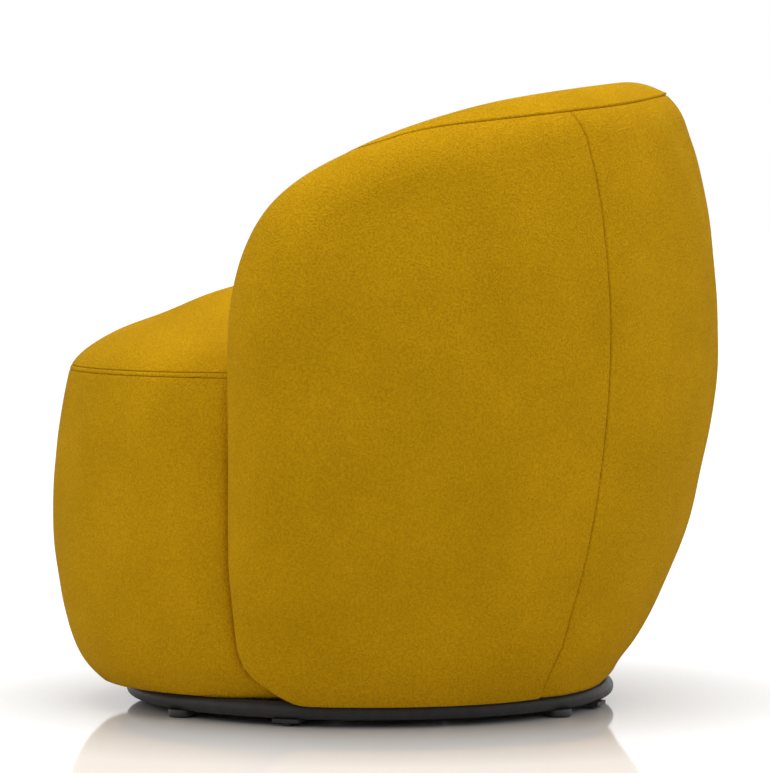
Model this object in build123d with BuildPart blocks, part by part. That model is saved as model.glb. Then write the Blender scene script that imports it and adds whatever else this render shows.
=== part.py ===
from build123d import *
from math import cos, hypot, radians, sin, sqrt
import os

# Swivel accent chair: a padded barrel shell and a crowned seat, turning on a ball bearing over a ring base.
# Millimetres, +Z up. The chair faces -Y, the sitter's left is +X, and the swivel axis stands on the origin.

os.makedirs("parts", exist_ok=True)

# Fits
fit = 0.3
soft_gap = 0.5
reach = 600

# Barrel shell, drawn as two arcs that meet upright at the belly
foot_z = 29
foot_setback = 123
belly_z = 415
belly_radius = 400
rim_z = 740
rim_setback = 59
outer_roll = 60
inner_roll = 50

# Side outline of the shell: upright arm front, then the sweep up to the back
nose_y = -152
nose_top_z = 400
arm_bend = (-107, 572)
arm_crest = (85, 670)
back_crest = (420, 744)
back_slope = 0.25
nose_corner_radius = 105
nose_corner_drop = 5

# Seat well inside the shell, a round set forward of the swivel axis
well_y = -35
well_floor_z = 330
well_straight_z = 470
arm_thickness = 134
rim_thickness = 56

# Covers and padding
panel_thickness = 18
pad_thickness = 60
nose_seam_y = -105
back_seam_angle = 49.3
back_seam_width = 0.1
seam_front = (-200, 600)
seam_arm = (-26, 630)
seam_side = (140, 666)
seam_back = (344, 699)
seam_end = (430, 716)

# Plywood frame
ply = 18
board_z = 36
rail_lift = 540
rail_angle = 16.7
rail_setback = 55
rail_front_width = 32
rib_foot_depth = 44
rib_screw_setback = 21
rib_angles = {
    "rib_back": 0,
    "rib_seam_left": back_seam_angle,
    "rib_seam_right": -back_seam_angle,
    "rib_arm_left": 78,
    "rib_arm_right": -78,
    "rib_front_left": 103,
    "rib_front_right": -103,
}
front_panel_thickness = 12
front_panel_y = -110
screw_diameter = 5
screw_head_diameter = 10
screw_head_height = 3.5
screw_length = 50
panel_screw_turns = (-24, 0, 24)

# Seat, a round drum set forward of the swivel axis. Points of its crown are given in from the seam.
seat_y = -65
seat_seam_z = 385
seat_overhang = 15
seat_shoulder = (12, 401)
seat_roll = (46, 425)
seat_waist = (104, 446.5)
seat_rise = (150, 466)
seat_crown = (211, 483)
seat_top_z = 489
seat_edge_lean = 0.4
strap_width = 55
strap_thickness = 1.6
strap_lap = 25
strap_count = 5

# Front band below the seat seam
band_belly_z = 230
band_swell = 19
band_corner_z = 93
band_corner_setback = 16
band_foot_z = 29
band_foot_setback = 56
band_foot_thickness = 22

# Ring base
ring_setback = 5
tube_diameter = 19
tube_wall = 1.5
glide_diameter = 29
glide_height = 8
glide_wrap = 5
glide_angle = 39
glide_screw_diameter = 4
glide_screw_length = 16
glide_recess_diameter = 11
glide_recess_depth = 3
glide_screw_head = 8
glide_chamfer = 1.5
bar_width = 31
bar_thickness = 4
bar_overhang = 8
bar_angle = 109.5
bar_bolt_diameter = 6
bar_bolt_head = 12
bolt_head_height = 2.2
bar_bolt_length = 16

# Swivel bearing
plate_side = 190
plate_corner = 18
plate_gauge = 2.5
plate_bolt_radius = 114
plate_bolt_diameter = 8
plate_bolt_head = 15
race_radius = 78
race_top_width = 20
race_foot_width = 32
race_lip_drop = 2.5
ball_diameter = 9.5
ball_count = 16
retainer_thickness = 1.5
retainer_width = 16
nut_height = 6
nut_flats = 13
tee_flange_diameter = 22
tee_flange_thickness = 1.5
tee_barrel_diameter = 10
tee_barrel_length = 10
king_diameter = 12
king_head_diameter = 24
king_nut_flats = 19
king_nut_height = 8
king_washer_diameter = 30
king_washer_thickness = 2
bolt_tip = 1.5
board_bore = 50

# Dust cover
cambric_thickness = 0.8
cambric_inner_radius = 140

# Radii, heights and places that follow
foot_radius = belly_radius - foot_setback
rim_radius = belly_radius - rim_setback
well_radius = belly_radius - arm_thickness
well_rim_radius = rim_radius - rim_thickness
seat_seam_radius = well_radius + seat_overhang
band_belly_radius = seat_seam_radius + band_swell
band_corner_radius = band_belly_radius - band_corner_setback
band_foot_radius = band_belly_radius - band_foot_setback
front_panel_radius = band_foot_radius - band_foot_thickness
rail_outer_radius = belly_radius - rail_setback
rail_inner_radius = front_panel_radius - rail_front_width
strap_spacing = 2 * rail_inner_radius / strap_count
ring_radius = foot_radius - ring_setback
bar_reach = ring_radius + bar_overhang
ring_z = glide_height + tube_diameter / 2
bar_top_z = glide_height
bar_bottom_z = bar_top_z - bar_thickness
ball_z = (bar_top_z + board_z) / 2
board_top_z = board_z + ply
seat_rail_z = well_floor_z - ply
board_radius = foot_radius - panel_thickness - fit
rib_inner_radius = board_radius - rib_foot_depth
rib_screw_radius = board_radius - rib_screw_setback
band_face_radius = front_panel_radius + fit
cushion_floor_z = well_floor_z + 2 * strap_thickness + soft_gap
seat_axis = Axis((0, seat_y, 0), (0, 0, 1))
king_nut_z = board_z + fit + king_washer_thickness
rail_normal = (0, -sin(radians(rail_angle)), cos(radians(rail_angle)))
rail_plane = Plane((0, 0, rail_lift), x_dir=(1, 0, 0), z_dir=rail_normal)
on_seat = (Align.CENTER, Align.CENTER, Align.MIN)
below_seat = (Align.CENTER, Align.CENTER, Align.MAX)


def polar(radius, angle):
    """Plan point at a radius, with the angle counted from the back (+Y) towards the left (+X)."""
    return (radius * sin(radians(angle)), radius * cos(radians(angle)))


def keep(piece, name):
    """Label a finished piece and write its STEP file."""
    piece.part.label = name
    export_step(piece.part, f"parts/{name}.step")


def barrel(inset):
    """Solid barrel inside the shell's outline, drawn in by the inset."""
    foot = (foot_radius - inset, foot_z)
    belly = (belly_radius - inset, belly_z)
    rim = (rim_radius - inset, rim_z)
    with BuildPart() as solid:
        with BuildSketch(Plane.XZ):
            with BuildLine():
                TangentArc(belly, foot, tangent=(0, -1))
                TangentArc(belly, rim, tangent=(0, 1))
                Polyline(foot, (0, foot_z), (0, rim_z), rim)
            make_face()
        revolve(axis=Axis.Z)
    return solid.part


def seat_well(margin):
    """Round space for the sitter, widened by a margin of padding."""
    floor = (well_radius + margin, well_floor_z)
    waist = (well_radius + margin, well_straight_z)
    rim = (well_rim_radius + margin, rim_z)
    with BuildPart() as space:
        with BuildSketch(Plane.XZ.offset(-well_y)):
            with BuildLine():
                Line(floor, waist)
                TangentArc(waist, rim, tangent=(0, 1))
                Polyline(rim, (0, rim_z), (0, well_floor_z), floor)
            make_face()
        revolve(axis=Axis((0, well_y, 0), (0, 0, 1)))
    return space.part


def front_half(limit_y):
    """Everything in front of a cross plane."""
    with BuildPart() as half:
        with BuildSketch(Plane.XY):
            with Locations((0, limit_y)):
                Rectangle(2 * reach, reach, align=(Align.CENTER, Align.MAX))
        extrude(amount=reach * 2, both=True)
    return half.part


def cover_zone(gap):
    """Space of the outer covers: a skin below the top seam, and the arm fronts that the sides wrap."""
    with BuildPart() as zone:
        with BuildSketch(Plane.XY):
            Circle(reach)
        extrude(amount=rim_z)
        add(barrel(panel_thickness + gap), mode=Mode.SUBTRACT)
        with BuildSketch(Plane.YZ):
            with BuildLine():
                seam = [(y, z + gap) for y, z in (seam_front, seam_arm, seam_side, seam_back, seam_end)]
                Spline(*seam)
                Polyline(seam[-1], (seam_end[0] + reach, 0), (seam_front[0] - reach, 0), seam[0])
            make_face()
        extrude(amount=reach, both=True, mode=Mode.INTERSECT)
        with BuildSketch(Plane.XY):
            with Locations((0, nose_seam_y + gap)):
                Rectangle(2 * reach, reach, align=(Align.CENTER, Align.MAX))
            with Locations((0, well_y)):
                Circle(well_radius - gap, mode=Mode.SUBTRACT)
        extrude(amount=rim_z)
    return zone.part


def back_wedge(angle):
    """Upright wedge of the barrel behind the swivel axis, out to an angle on each side."""
    half_width = reach * sin(radians(angle)) / cos(radians(angle))
    with BuildPart() as wedge:
        with BuildSketch(Plane.XY):
            Polygon((0, 0), (half_width, reach), (-half_width, reach), align=None)
        extrude(amount=rim_z)
    return wedge.part


def on_barrel(edge):
    """True for the edges where the side outline meets the barrel's outer face."""
    middle = edge @ 0.5
    return edge.geom_type == GeomType.BSPLINE and hypot(middle.X, middle.Y) > well_rim_radius - well_y


def on_well(edge):
    """True for the edges where the side outline meets the wall of the seat well."""
    middle = edge @ 0.5
    above_floor = edge.geom_type != GeomType.CIRCLE and middle.Z > well_floor_z
    return above_floor and hypot(middle.X, middle.Y - well_y) < well_rim_radius


def race_section(foot_width, foot_level, top_width, top_level):
    """Section of a raised race about its middle line, as corner points."""
    half_foot = foot_width / 2
    half_top = top_width / 2
    return ((-half_foot, foot_level), (half_foot, foot_level), (half_top, top_level), (-half_top, top_level))


def screw_set(slack):
    """Countersunk screws under the ribs and the front panel, or their holes when given slack."""
    head_radius = screw_head_diameter / 2 + slack
    shank_radius = screw_diameter / 2 + slack
    panel_radius = front_panel_radius - front_panel_thickness / 2
    points = [polar(rib_screw_radius, angle) for angle in rib_angles.values()]
    panel_points = [polar(panel_radius, 180 + turn) for turn in panel_screw_turns]
    points += [(x, y + seat_y) for x, y in panel_points]
    with BuildPart() as screws:
        with Locations(*[(x, y, board_z) for x, y in points]):
            Cone(head_radius, shank_radius, screw_head_height, align=on_seat)
            Cylinder(shank_radius, screw_length + slack, align=on_seat)
    return screws.part


def bar_holes(mode):
    """Holes for the plate bolts and the ring bolts on the lines of the flat bars."""
    with PolarLocations(plate_bolt_radius, 4):
        Circle(plate_bolt_diameter / 2 + fit, mode=mode)
    with PolarLocations(ring_radius, 4):
        Circle(bar_bolt_diameter / 2 + fit, mode=mode)


def shell_form(grow):
    """Barrel cut to the side outline, with its seat well, rolled rims and rounded lower arm corners.

    Grown by a gap it is the room that the neighbouring soft pieces keep clear of."""
    with BuildPart() as form:
        add(barrel(-grow))
        with BuildSketch(Plane.YZ):
            with BuildLine():
                toe = (nose_y - grow, nose_top_z)
                Line((nose_y - grow, 0), toe)
                crest = [(y, z + grow) for y, z in (arm_bend, arm_crest, back_crest)]
                Spline(toe, *crest, tangents=((0, 1), (1, back_slope)))
                Polyline(crest[-1], (crest[-1][0], 0), (nose_y - grow, 0))
            make_face()
        extrude(amount=reach, both=True, mode=Mode.INTERSECT)
        add(seat_well(-grow), mode=Mode.SUBTRACT)
        fillet(form.edges().filter_by(on_barrel), outer_roll + grow)
        fillet(form.edges().filter_by(on_well), inner_roll + grow)
        with BuildSketch(Plane.YZ):
            with BuildLine():
                heel = (nose_y + nose_corner_radius, foot_z - nose_corner_drop - grow)
                toe = (nose_y - grow, heel[1] + nose_corner_radius + grow)
                TangentArc(toe, heel, tangent=(0, -1))
                Polyline(heel, (toe[0], heel[1]), toe)
            make_face()
        extrude(amount=reach, both=True, mode=Mode.SUBTRACT)
    return form.part


# Shell: the solid form that the covers and the padding are cut from, and its room among the soft pieces
shell = shell_form(0)
shell_room = shell_form(soft_gap)

# Outer covers: padded fabric panels, the sides wrapped round the arm fronts
with BuildPart() as outer_covers:
    add(shell)
    add(cover_zone(0), mode=Mode.INTERSECT)

with BuildPart() as outer_back_panel:
    add(outer_covers.part)
    add(back_wedge(back_seam_angle), mode=Mode.INTERSECT)
keep(outer_back_panel, "outer_back_panel")

for name, side in (("outer_side_panel_left", 1), ("outer_side_panel_right", -1)):
    with BuildPart() as outer_side_panel:
        add(outer_covers.part)
        add(back_wedge(back_seam_angle + back_seam_width), mode=Mode.SUBTRACT)
        with BuildSketch(Plane.YZ):
            Rectangle(2 * reach, 4 * reach)
        extrude(amount=side * reach, mode=Mode.INTERSECT)
    keep(outer_side_panel, name)

# Inside padding: foam of the back, arms and top roll, hollow behind for the frame
with BuildPart() as padding_back:
    with BuildSketch(rail_plane.offset(soft_gap)):
        Rectangle(3 * reach, 3 * reach)
    extrude(amount=-2 * reach)
    add(seat_well(pad_thickness), mode=Mode.SUBTRACT)

with BuildPart() as inside_back_pad:
    add(shell)
    add(cover_zone(soft_gap), mode=Mode.SUBTRACT)
    add(padding_back.part, mode=Mode.SUBTRACT)
    with BuildSketch(Plane.XY):
        Circle(reach)
    extrude(amount=well_floor_z, mode=Mode.SUBTRACT)
keep(inside_back_pad, "inside_back_pad")

# Top rail: a plywood bow on the ribs, sloping with the roll
with BuildPart() as frame_room:
    add(barrel(panel_thickness + soft_gap))
    add(seat_well(pad_thickness + soft_gap), mode=Mode.SUBTRACT)
    add(front_half(nose_seam_y + soft_gap), mode=Mode.SUBTRACT)

with BuildPart() as top_rail:
    with BuildSketch(rail_plane):
        Rectangle(3 * reach, 3 * reach)
    extrude(amount=-ply)
    add(frame_room.part, mode=Mode.INTERSECT)
keep(top_rail, "top_rail")

# Round of the board and of the front panel, inside the front band
with BuildSketch() as front_lobe:
    with Locations((0, seat_y)):
        Circle(front_panel_radius)
    with Locations((0, front_panel_y)):
        Rectangle(2 * reach, reach, align=(Align.CENTER, Align.MAX), mode=Mode.INTERSECT)

# Seat rail: a plywood ring let into the ribs, carrying the straps and the foot of the inside padding
with BuildPart() as seat_rail:
    with BuildSketch(Plane.XY.offset(seat_rail_z)):
        Circle(rail_outer_radius)
        with Locations((0, nose_seam_y + soft_gap)):
            Rectangle(2 * reach, 2 * reach, align=(Align.CENTER, Align.MIN), mode=Mode.INTERSECT)
        with Locations((0, seat_y)):
            Circle(front_panel_radius)
            Circle(rail_inner_radius, mode=Mode.SUBTRACT)
    extrude(amount=ply)
keep(seat_rail, "seat_rail")

# Front panel: bent plywood between the board and the seat rail, behind the front band
with BuildPart() as front_panel:
    with BuildSketch(Plane.XY.offset(board_top_z)):
        add(front_lobe.sketch)
        with Locations((0, seat_y)):
            Circle(front_panel_radius - front_panel_thickness, mode=Mode.SUBTRACT)
    extrude(amount=seat_rail_z - board_top_z)
    add(screw_set(fit), mode=Mode.SUBTRACT)
keep(front_panel, "front_panel")

# Base board: plywood, round under the shell and wider under the front band
with BuildPart() as base_board:
    with BuildSketch(Plane.XY.offset(board_z)):
        add(front_lobe.sketch)
        Circle(board_radius)
        Circle(board_bore / 2, mode=Mode.SUBTRACT)
        with PolarLocations(plate_bolt_radius, 4, start_angle=45):
            Circle(tee_barrel_diameter / 2 + fit, mode=Mode.SUBTRACT)
    extrude(amount=ply)
    add(screw_set(fit), mode=Mode.SUBTRACT)
keep(base_board, "base_board")

# Ribs: upright plywood round the barrel, standing on the board and notched for the seat rail
with BuildPart() as rib_room:
    add(frame_room.part)
    with BuildSketch(rail_plane.offset(-ply)):
        Rectangle(3 * reach, 3 * reach)
    extrude(amount=reach, mode=Mode.SUBTRACT)

for name, angle in rib_angles.items():
    outward = (*polar(1, angle), 0)
    sideways = (*polar(1, angle + 90), 0)
    with BuildPart() as rib:
        with BuildSketch(Plane((0, 0, board_top_z), x_dir=outward, z_dir=sideways)):
            with Locations((rib_inner_radius, 0)):
                Rectangle(reach, reach, align=(Align.MIN, Align.MIN))
        extrude(amount=ply / 2, both=True)
        add(rib_room.part, mode=Mode.INTERSECT)
        add(seat_rail.part, mode=Mode.SUBTRACT)
        add(screw_set(fit), mode=Mode.SUBTRACT)
    keep(rib, name)

# Screws up through the board into the ribs and the front panel
with BuildPart() as frame_screws:
    add(screw_set(0))
keep(frame_screws, "frame_screws")

# Seat straps: elastic webbing stapled over the seat rail, one set laid over the other
for name, level, turn in (("webbing_across", 0, 0), ("webbing_along", 1, 90)):
    with BuildPart() as webbing:
        with BuildSketch(Plane((0, seat_y, well_floor_z + level * strap_thickness)).rotated((0, 0, turn))):
            for step in range(strap_count):
                offset_y = (step - (strap_count - 1) / 2) * strap_spacing
                span = 2 * (sqrt(rail_inner_radius**2 - offset_y**2) + strap_lap)
                with Locations((0, offset_y)):
                    Rectangle(span, strap_width)
            Circle(front_panel_radius, mode=Mode.INTERSECT)
        extrude(amount=strap_thickness)
    keep(webbing, name)

# Seat cushion: crowned foam, its lip over the front band and its shoulders before the arm fronts
with BuildPart() as seat_cushion:
    lip_z = seat_seam_z + soft_gap
    lip_radius = front_panel_radius - soft_gap
    with BuildSketch(Plane.XZ.offset(-seat_y)):
        with BuildLine():
            edge = (seat_seam_radius, lip_z)
            top = (0, seat_top_z)
            steps = (seat_shoulder, seat_roll, seat_waist, seat_rise, seat_crown)
            crown = [(seat_seam_radius - inset, z) for inset, z in steps]
            Spline(edge, *crown, top, tangents=((-seat_edge_lean, 1), (-1, 0)))
            Polyline(top, (0, cushion_floor_z), (lip_radius, cushion_floor_z), (lip_radius, lip_z), edge)
        make_face()
    revolve(axis=seat_axis)
    add(shell_room, mode=Mode.SUBTRACT)
keep(seat_cushion, "seat_cushion")

# Front band: foam round the front panel, drawn in at the seam above and at the floor edge below,
# its ends running on inside the rounded lower corners of the arms
with BuildPart() as seat_front_band:
    with BuildSketch(Plane.XZ.offset(-seat_y)):
        with BuildLine():
            belly = (band_belly_radius, band_belly_z)
            corner = (band_corner_radius, band_corner_z)
            foot = (band_foot_radius, band_foot_z)
            seam = (seat_seam_radius, seat_seam_z)
            TangentArc(belly, seam, tangent=(0, 1))
            flank = TangentArc(belly, corner, tangent=(0, -1))
            TangentArc(corner, foot, tangent=flank % 1)
            Polyline(foot, (band_face_radius, band_foot_z), (band_face_radius, seat_seam_z), seam)
        make_face()
    revolve(axis=seat_axis)
    add(front_half(nose_y + nose_corner_radius), mode=Mode.INTERSECT)
    add(shell_room, mode=Mode.SUBTRACT)
    with BuildSketch(Plane.XY):
        Circle(board_radius + fit)
    extrude(amount=board_top_z, mode=Mode.SUBTRACT)
keep(seat_front_band, "seat_front_band")

# Dust cover: cambric stapled under the board round the swivel
with BuildPart() as dust_cover:
    with BuildSketch(Plane.XY.offset(board_z - cambric_thickness)):
        Circle(board_radius)
        Circle(cambric_inner_radius, mode=Mode.SUBTRACT)
    extrude(amount=cambric_thickness)
keep(dust_cover, "dust_cover")

# Swivel plates: pressed steel squares whose ball races face each other
lower_plane = Plane((0, 0, bar_top_z), x_dir=(*polar(1, bar_angle), 0), z_dir=(0, 0, 1))
upper_plane = Plane((0, 0, board_z), x_dir=(1, 1, 0), z_dir=(0, 0, -1))
for name, plane, up in (("swivel_lower_plate", lower_plane, 1), ("swivel_upper_plate", upper_plane, -1)):
    seat_z = plane.origin.Z
    race_top_z = ball_z - up * race_lip_drop
    hollow_top_z = ball_z - up * (ball_diameter / 2 + fit + plate_gauge)
    with BuildPart() as swivel_plate:
        with BuildSketch(plane):
            RectangleRounded(plate_side, plate_side, plate_corner, rotation=45)
            Circle(king_diameter / 2 + fit, mode=Mode.SUBTRACT)
            with PolarLocations(plate_bolt_radius, 4):
                Circle(plate_bolt_diameter / 2 + fit, mode=Mode.SUBTRACT)
        extrude(amount=plate_gauge)
        with BuildSketch(Plane.XZ):
            with Locations((race_radius, 0)):
                Polygon(*race_section(race_foot_width, seat_z, race_top_width, race_top_z), align=None)
        revolve(axis=Axis.Z)
        with BuildSketch(Plane.XZ):
            with Locations((race_radius, 0)):
                hollow_foot = race_foot_width - 2 * plate_gauge
                hollow_top = race_top_width - 2 * plate_gauge
                Polygon(*race_section(hollow_foot, seat_z, hollow_top, hollow_top_z), align=None)
        revolve(axis=Axis.Z, mode=Mode.SUBTRACT)
        with BuildSketch(Plane.XZ):
            with Locations((race_radius, ball_z)):
                Circle(ball_diameter / 2 + fit)
        revolve(axis=Axis.Z, mode=Mode.SUBTRACT)
    keep(swivel_plate, name)

# Balls between the races, spaced by a flat retainer
with BuildPart() as bearing_balls:
    with Locations((0, 0, ball_z)):
        with PolarLocations(race_radius, ball_count):
            Sphere(ball_diameter / 2)
keep(bearing_balls, "bearing_balls")

with BuildPart() as ball_retainer:
    with BuildSketch(Plane.XY.offset(ball_z - retainer_thickness / 2)):
        Circle(race_radius + retainer_width / 2)
        Circle(race_radius - retainer_width / 2, mode=Mode.SUBTRACT)
        with PolarLocations(race_radius, ball_count):
            Circle(ball_diameter / 2 + fit, mode=Mode.SUBTRACT)
    extrude(amount=retainer_thickness)
keep(ball_retainer, "ball_retainer")

# Bolts of the upper plate, up through the board into tee nuts
with BuildPart() as upper_plate_bolts:
    with Locations(upper_plane.offset(plate_gauge)):
        with PolarLocations(plate_bolt_radius, 4):
            Cylinder(plate_bolt_head / 2, bolt_head_height, align=on_seat)
            Cylinder(plate_bolt_diameter / 2, plate_gauge + ply + tee_flange_thickness, align=below_seat)
keep(upper_plate_bolts, "upper_plate_bolts")

with BuildPart() as tee_nuts:
    with Locations((0, 0, board_top_z)):
        with PolarLocations(plate_bolt_radius, 4, start_angle=45):
            Cylinder(tee_flange_diameter / 2, tee_flange_thickness, align=on_seat)
            Cylinder(tee_barrel_diameter / 2, tee_barrel_length, align=below_seat)
            Cylinder(plate_bolt_diameter / 2 + fit, 2 * ply, mode=Mode.SUBTRACT)
keep(tee_nuts, "tee_nuts")

# Bolts of the lower plate, up through the flat bars into hex nuts
lower_bolt_length = bar_thickness + plate_gauge + nut_height + bolt_tip

with BuildPart() as lower_plate_bolts:
    with Locations(lower_plane.offset(-bar_thickness)):
        with PolarLocations(plate_bolt_radius, 4):
            Cylinder(plate_bolt_head / 2, bolt_head_height, align=below_seat)
            Cylinder(plate_bolt_diameter / 2, lower_bolt_length, align=on_seat)
keep(lower_plate_bolts, "lower_plate_bolts")

with BuildPart() as lower_plate_nuts:
    with BuildSketch(lower_plane.offset(plate_gauge)):
        with PolarLocations(plate_bolt_radius, 4):
            RegularPolygon(nut_flats / 2, 6, major_radius=False)
            Circle(plate_bolt_diameter / 2 + fit, mode=Mode.SUBTRACT)
    extrude(amount=nut_height)
keep(lower_plate_nuts, "lower_plate_nuts")

# King bolt: keeps the plates together when the chair is lifted, with its nut and washer in the board's bore
with BuildPart() as king_bolt:
    with Locations((0, 0, bar_bottom_z)):
        Cylinder(king_head_diameter / 2, bolt_head_height, align=below_seat)
        Cylinder(king_diameter / 2, king_nut_z + king_nut_height + bolt_tip - bar_bottom_z, align=on_seat)
keep(king_bolt, "king_bolt")

with BuildPart() as king_washer:
    with BuildSketch(Plane.XY.offset(board_z + fit)):
        Circle(king_washer_diameter / 2)
        Circle(king_diameter / 2 + fit, mode=Mode.SUBTRACT)
    extrude(amount=king_washer_thickness)
keep(king_washer, "king_washer")

with BuildPart() as king_nut:
    with BuildSketch(Plane.XY.offset(king_nut_z)):
        RegularPolygon(king_nut_flats / 2, 6, major_radius=False)
        Circle(king_diameter / 2 + fit, mode=Mode.SUBTRACT)
    extrude(amount=king_nut_height)
keep(king_nut, "king_nut")

# Flat bars under the ring: one right across, two halves butted to it
bar_plane = lower_plane.offset(-bar_thickness)

with BuildPart() as cross_bar_long:
    with BuildSketch(bar_plane):
        Rectangle(2 * bar_reach, bar_width)
        Circle(bar_reach, mode=Mode.INTERSECT)
        Circle(king_diameter / 2 + fit, mode=Mode.SUBTRACT)
        bar_holes(Mode.SUBTRACT)
    extrude(amount=bar_thickness)
keep(cross_bar_long, "cross_bar_long")

for name, end in (("cross_bar_rear", 1), ("cross_bar_front", -1)):
    with BuildPart() as cross_bar_half:
        with BuildSketch(bar_plane):
            with Locations((0, end * (bar_width + bar_reach) / 2)):
                Rectangle(bar_width, bar_reach)
            Circle(bar_reach, mode=Mode.INTERSECT)
            bar_holes(Mode.SUBTRACT)
        extrude(amount=bar_thickness)
    keep(cross_bar_half, name)

with BuildPart() as bar_bolts:
    with Locations(bar_plane):
        with PolarLocations(ring_radius, 4):
            Cylinder(bar_bolt_head / 2, bolt_head_height, align=below_seat)
            Cylinder(bar_bolt_diameter / 2, bar_bolt_length, align=on_seat)
keep(bar_bolts, "bar_bolts")

# Base ring: two half hoops of round tube welded end to end, bored below for the bolts and the glide screws
glide_x, glide_y = polar(ring_radius, glide_angle)

with BuildPart() as ring_bores:
    with Locations(bar_plane):
        with PolarLocations(ring_radius, 4):
            Cylinder(bar_bolt_diameter / 2 + fit, ring_z - bar_bottom_z, align=on_seat)
    with GridLocations(2 * glide_x, 2 * glide_y, 2, 2):
        Cylinder(glide_screw_diameter / 2 + fit, ring_z, align=on_seat)

for name, start in (("base_ring_rear", (1, 0, 0)), ("base_ring_front", (-1, 0, 0))):
    with BuildPart() as half_hoop:
        with BuildSketch(Plane((0, 0, ring_z), x_dir=start, z_dir=(0, -start[0], 0))):
            with Locations((ring_radius, 0)):
                Circle(tube_diameter / 2)
                Circle(tube_diameter / 2 - tube_wall, mode=Mode.SUBTRACT)
        revolve(axis=Axis.Z, revolution_arc=180)
        add(ring_bores.part, mode=Mode.SUBTRACT)
    keep(half_hoop, name)

# Glides: moulded feet saddled on the tube, each held by a screw from below
for row, side_y in (("rear", 1), ("front", -1)):
    for column, side_x in (("left", 1), ("right", -1)):
        with BuildPart() as glide:
            with BuildSketch(Plane.XY):
                with Locations((side_x * glide_x, side_y * glide_y)):
                    Circle(glide_diameter / 2)
                    Circle(glide_screw_diameter / 2 + fit, mode=Mode.SUBTRACT)
            extrude(amount=glide_height + glide_wrap)
            chamfer(glide.faces().sort_by(Axis.Z)[0].outer_wire().edges(), glide_chamfer)
            with BuildSketch(Plane.XY):
                with Locations((side_x * glide_x, side_y * glide_y)):
                    Circle(glide_recess_diameter / 2)
            extrude(amount=glide_recess_depth, mode=Mode.SUBTRACT)
            with BuildSketch(Plane.XZ):
                with Locations((ring_radius, ring_z)):
                    Circle(tube_diameter / 2 + fit)
            revolve(axis=Axis.Z, mode=Mode.SUBTRACT)
        keep(glide, f"glide_{row}_{column}")

with BuildPart() as glide_screws:
    with Locations((0, 0, glide_recess_depth)):
        with GridLocations(2 * glide_x, 2 * glide_y, 2, 2):
            Cylinder(glide_screw_head / 2, bolt_head_height, align=below_seat)
            Cylinder(glide_screw_diameter / 2, glide_screw_length, align=on_seat)
keep(glide_screws, "glide_screws")
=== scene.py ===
import math

import bpy
import numpy as np
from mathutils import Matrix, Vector
from mathutils.kdtree import KDTree


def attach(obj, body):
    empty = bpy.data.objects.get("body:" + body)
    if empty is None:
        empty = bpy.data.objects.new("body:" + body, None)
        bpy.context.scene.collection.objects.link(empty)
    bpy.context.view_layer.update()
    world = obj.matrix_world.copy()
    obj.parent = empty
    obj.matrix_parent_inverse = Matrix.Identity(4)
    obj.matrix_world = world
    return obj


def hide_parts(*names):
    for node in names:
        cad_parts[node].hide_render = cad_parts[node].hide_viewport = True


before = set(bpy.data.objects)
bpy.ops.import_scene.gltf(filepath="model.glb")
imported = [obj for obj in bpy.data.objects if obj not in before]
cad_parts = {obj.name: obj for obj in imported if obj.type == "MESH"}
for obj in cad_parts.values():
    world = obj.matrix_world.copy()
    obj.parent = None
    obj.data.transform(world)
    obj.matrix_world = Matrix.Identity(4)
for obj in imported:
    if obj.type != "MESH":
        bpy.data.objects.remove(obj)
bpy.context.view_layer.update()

# Base ring, flat bars and glides.
# The ring is bent steel tube and the bars are flat steel, bolted on from below, all in a satin black
# powder coat. The glides are low round feet of moulded black plastic under the tube, one screw in each.

def new_finish(name, base, roughness, **sockets):
    """Material with a plain Principled shader, given with its node tree and its shader."""
    material = bpy.data.materials.new(name)
    material.use_nodes = True
    shader = material.node_tree.nodes["Principled BSDF"]
    shader.inputs["Base Color"].default_value = (*base, 1)
    shader.inputs["Roughness"].default_value = roughness
    for socket, value in sockets.items():
        shader.inputs[socket.replace("_", " ")].default_value = value
    return material, material.node_tree, shader


def add_node(tree, kind, **values):
    """Node with its settings, and its inputs by name."""
    node = tree.nodes.new(kind)
    for name, value in values.items():
        if hasattr(node, name):
            setattr(node, name, value)
        else:
            node.inputs[name.replace("_", " ")].default_value = value
    return node


def wire(tree, *links):
    """Links between nodes, each given as a node, its output, a node and its input."""
    for start, output, end, entry in links:
        tree.links.new(start.outputs[output], end.inputs[entry])


def feed(shader, **values):
    """Link values to a shader's inputs by name."""
    for name, value in values.items():
        shader.id_data.links.new(value, shader.inputs[name.replace("_", " ")])


def math_node(tree, operation, second=0.5):
    """Math node with its second value, where that isn't linked."""
    node = add_node(tree, "ShaderNodeMath", operation=operation)
    node.inputs[1].default_value = second
    return node


def grain(tree, scale, detail, stretch=(1, 1, 1)):
    """Noise on the piece's own coordinates, as the socket of its value."""
    place = add_node(tree, "ShaderNodeTexCoord")
    turn = add_node(tree, "ShaderNodeMapping", Scale=stretch)
    noise = add_node(tree, "ShaderNodeTexNoise", Scale=scale, Detail=detail)
    wire(tree, (place, "Object", turn, "Vector"), (turn, "Vector", noise, "Vector"))
    return noise.outputs["Fac"]


def grey(level):
    return (level,) * 3


def ramp(tree, value, low, high, start=0.3, end=0.7):
    """Colours or greys from low to high where the value runs from start to end."""
    node = add_node(tree, "ShaderNodeValToRGB")
    points = node.color_ramp.elements
    points[0].position = start
    points[1].position = end
    points[0].color = (*low, 1)
    points[1].color = (*high, 1)
    tree.links.new(value, node.inputs["Fac"])
    return node.outputs["Color"]


def bump(tree, height, strength, distance, below=None):
    """Bump from a height, laid over another where one is given, as the socket of its normal."""
    node = add_node(tree, "ShaderNodeBump", Strength=strength, Distance=distance)
    tree.links.new(height, node.inputs["Height"])
    if below is not None:
        tree.links.new(below, node.inputs["Normal"])
    return node.outputs["Normal"]


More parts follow.
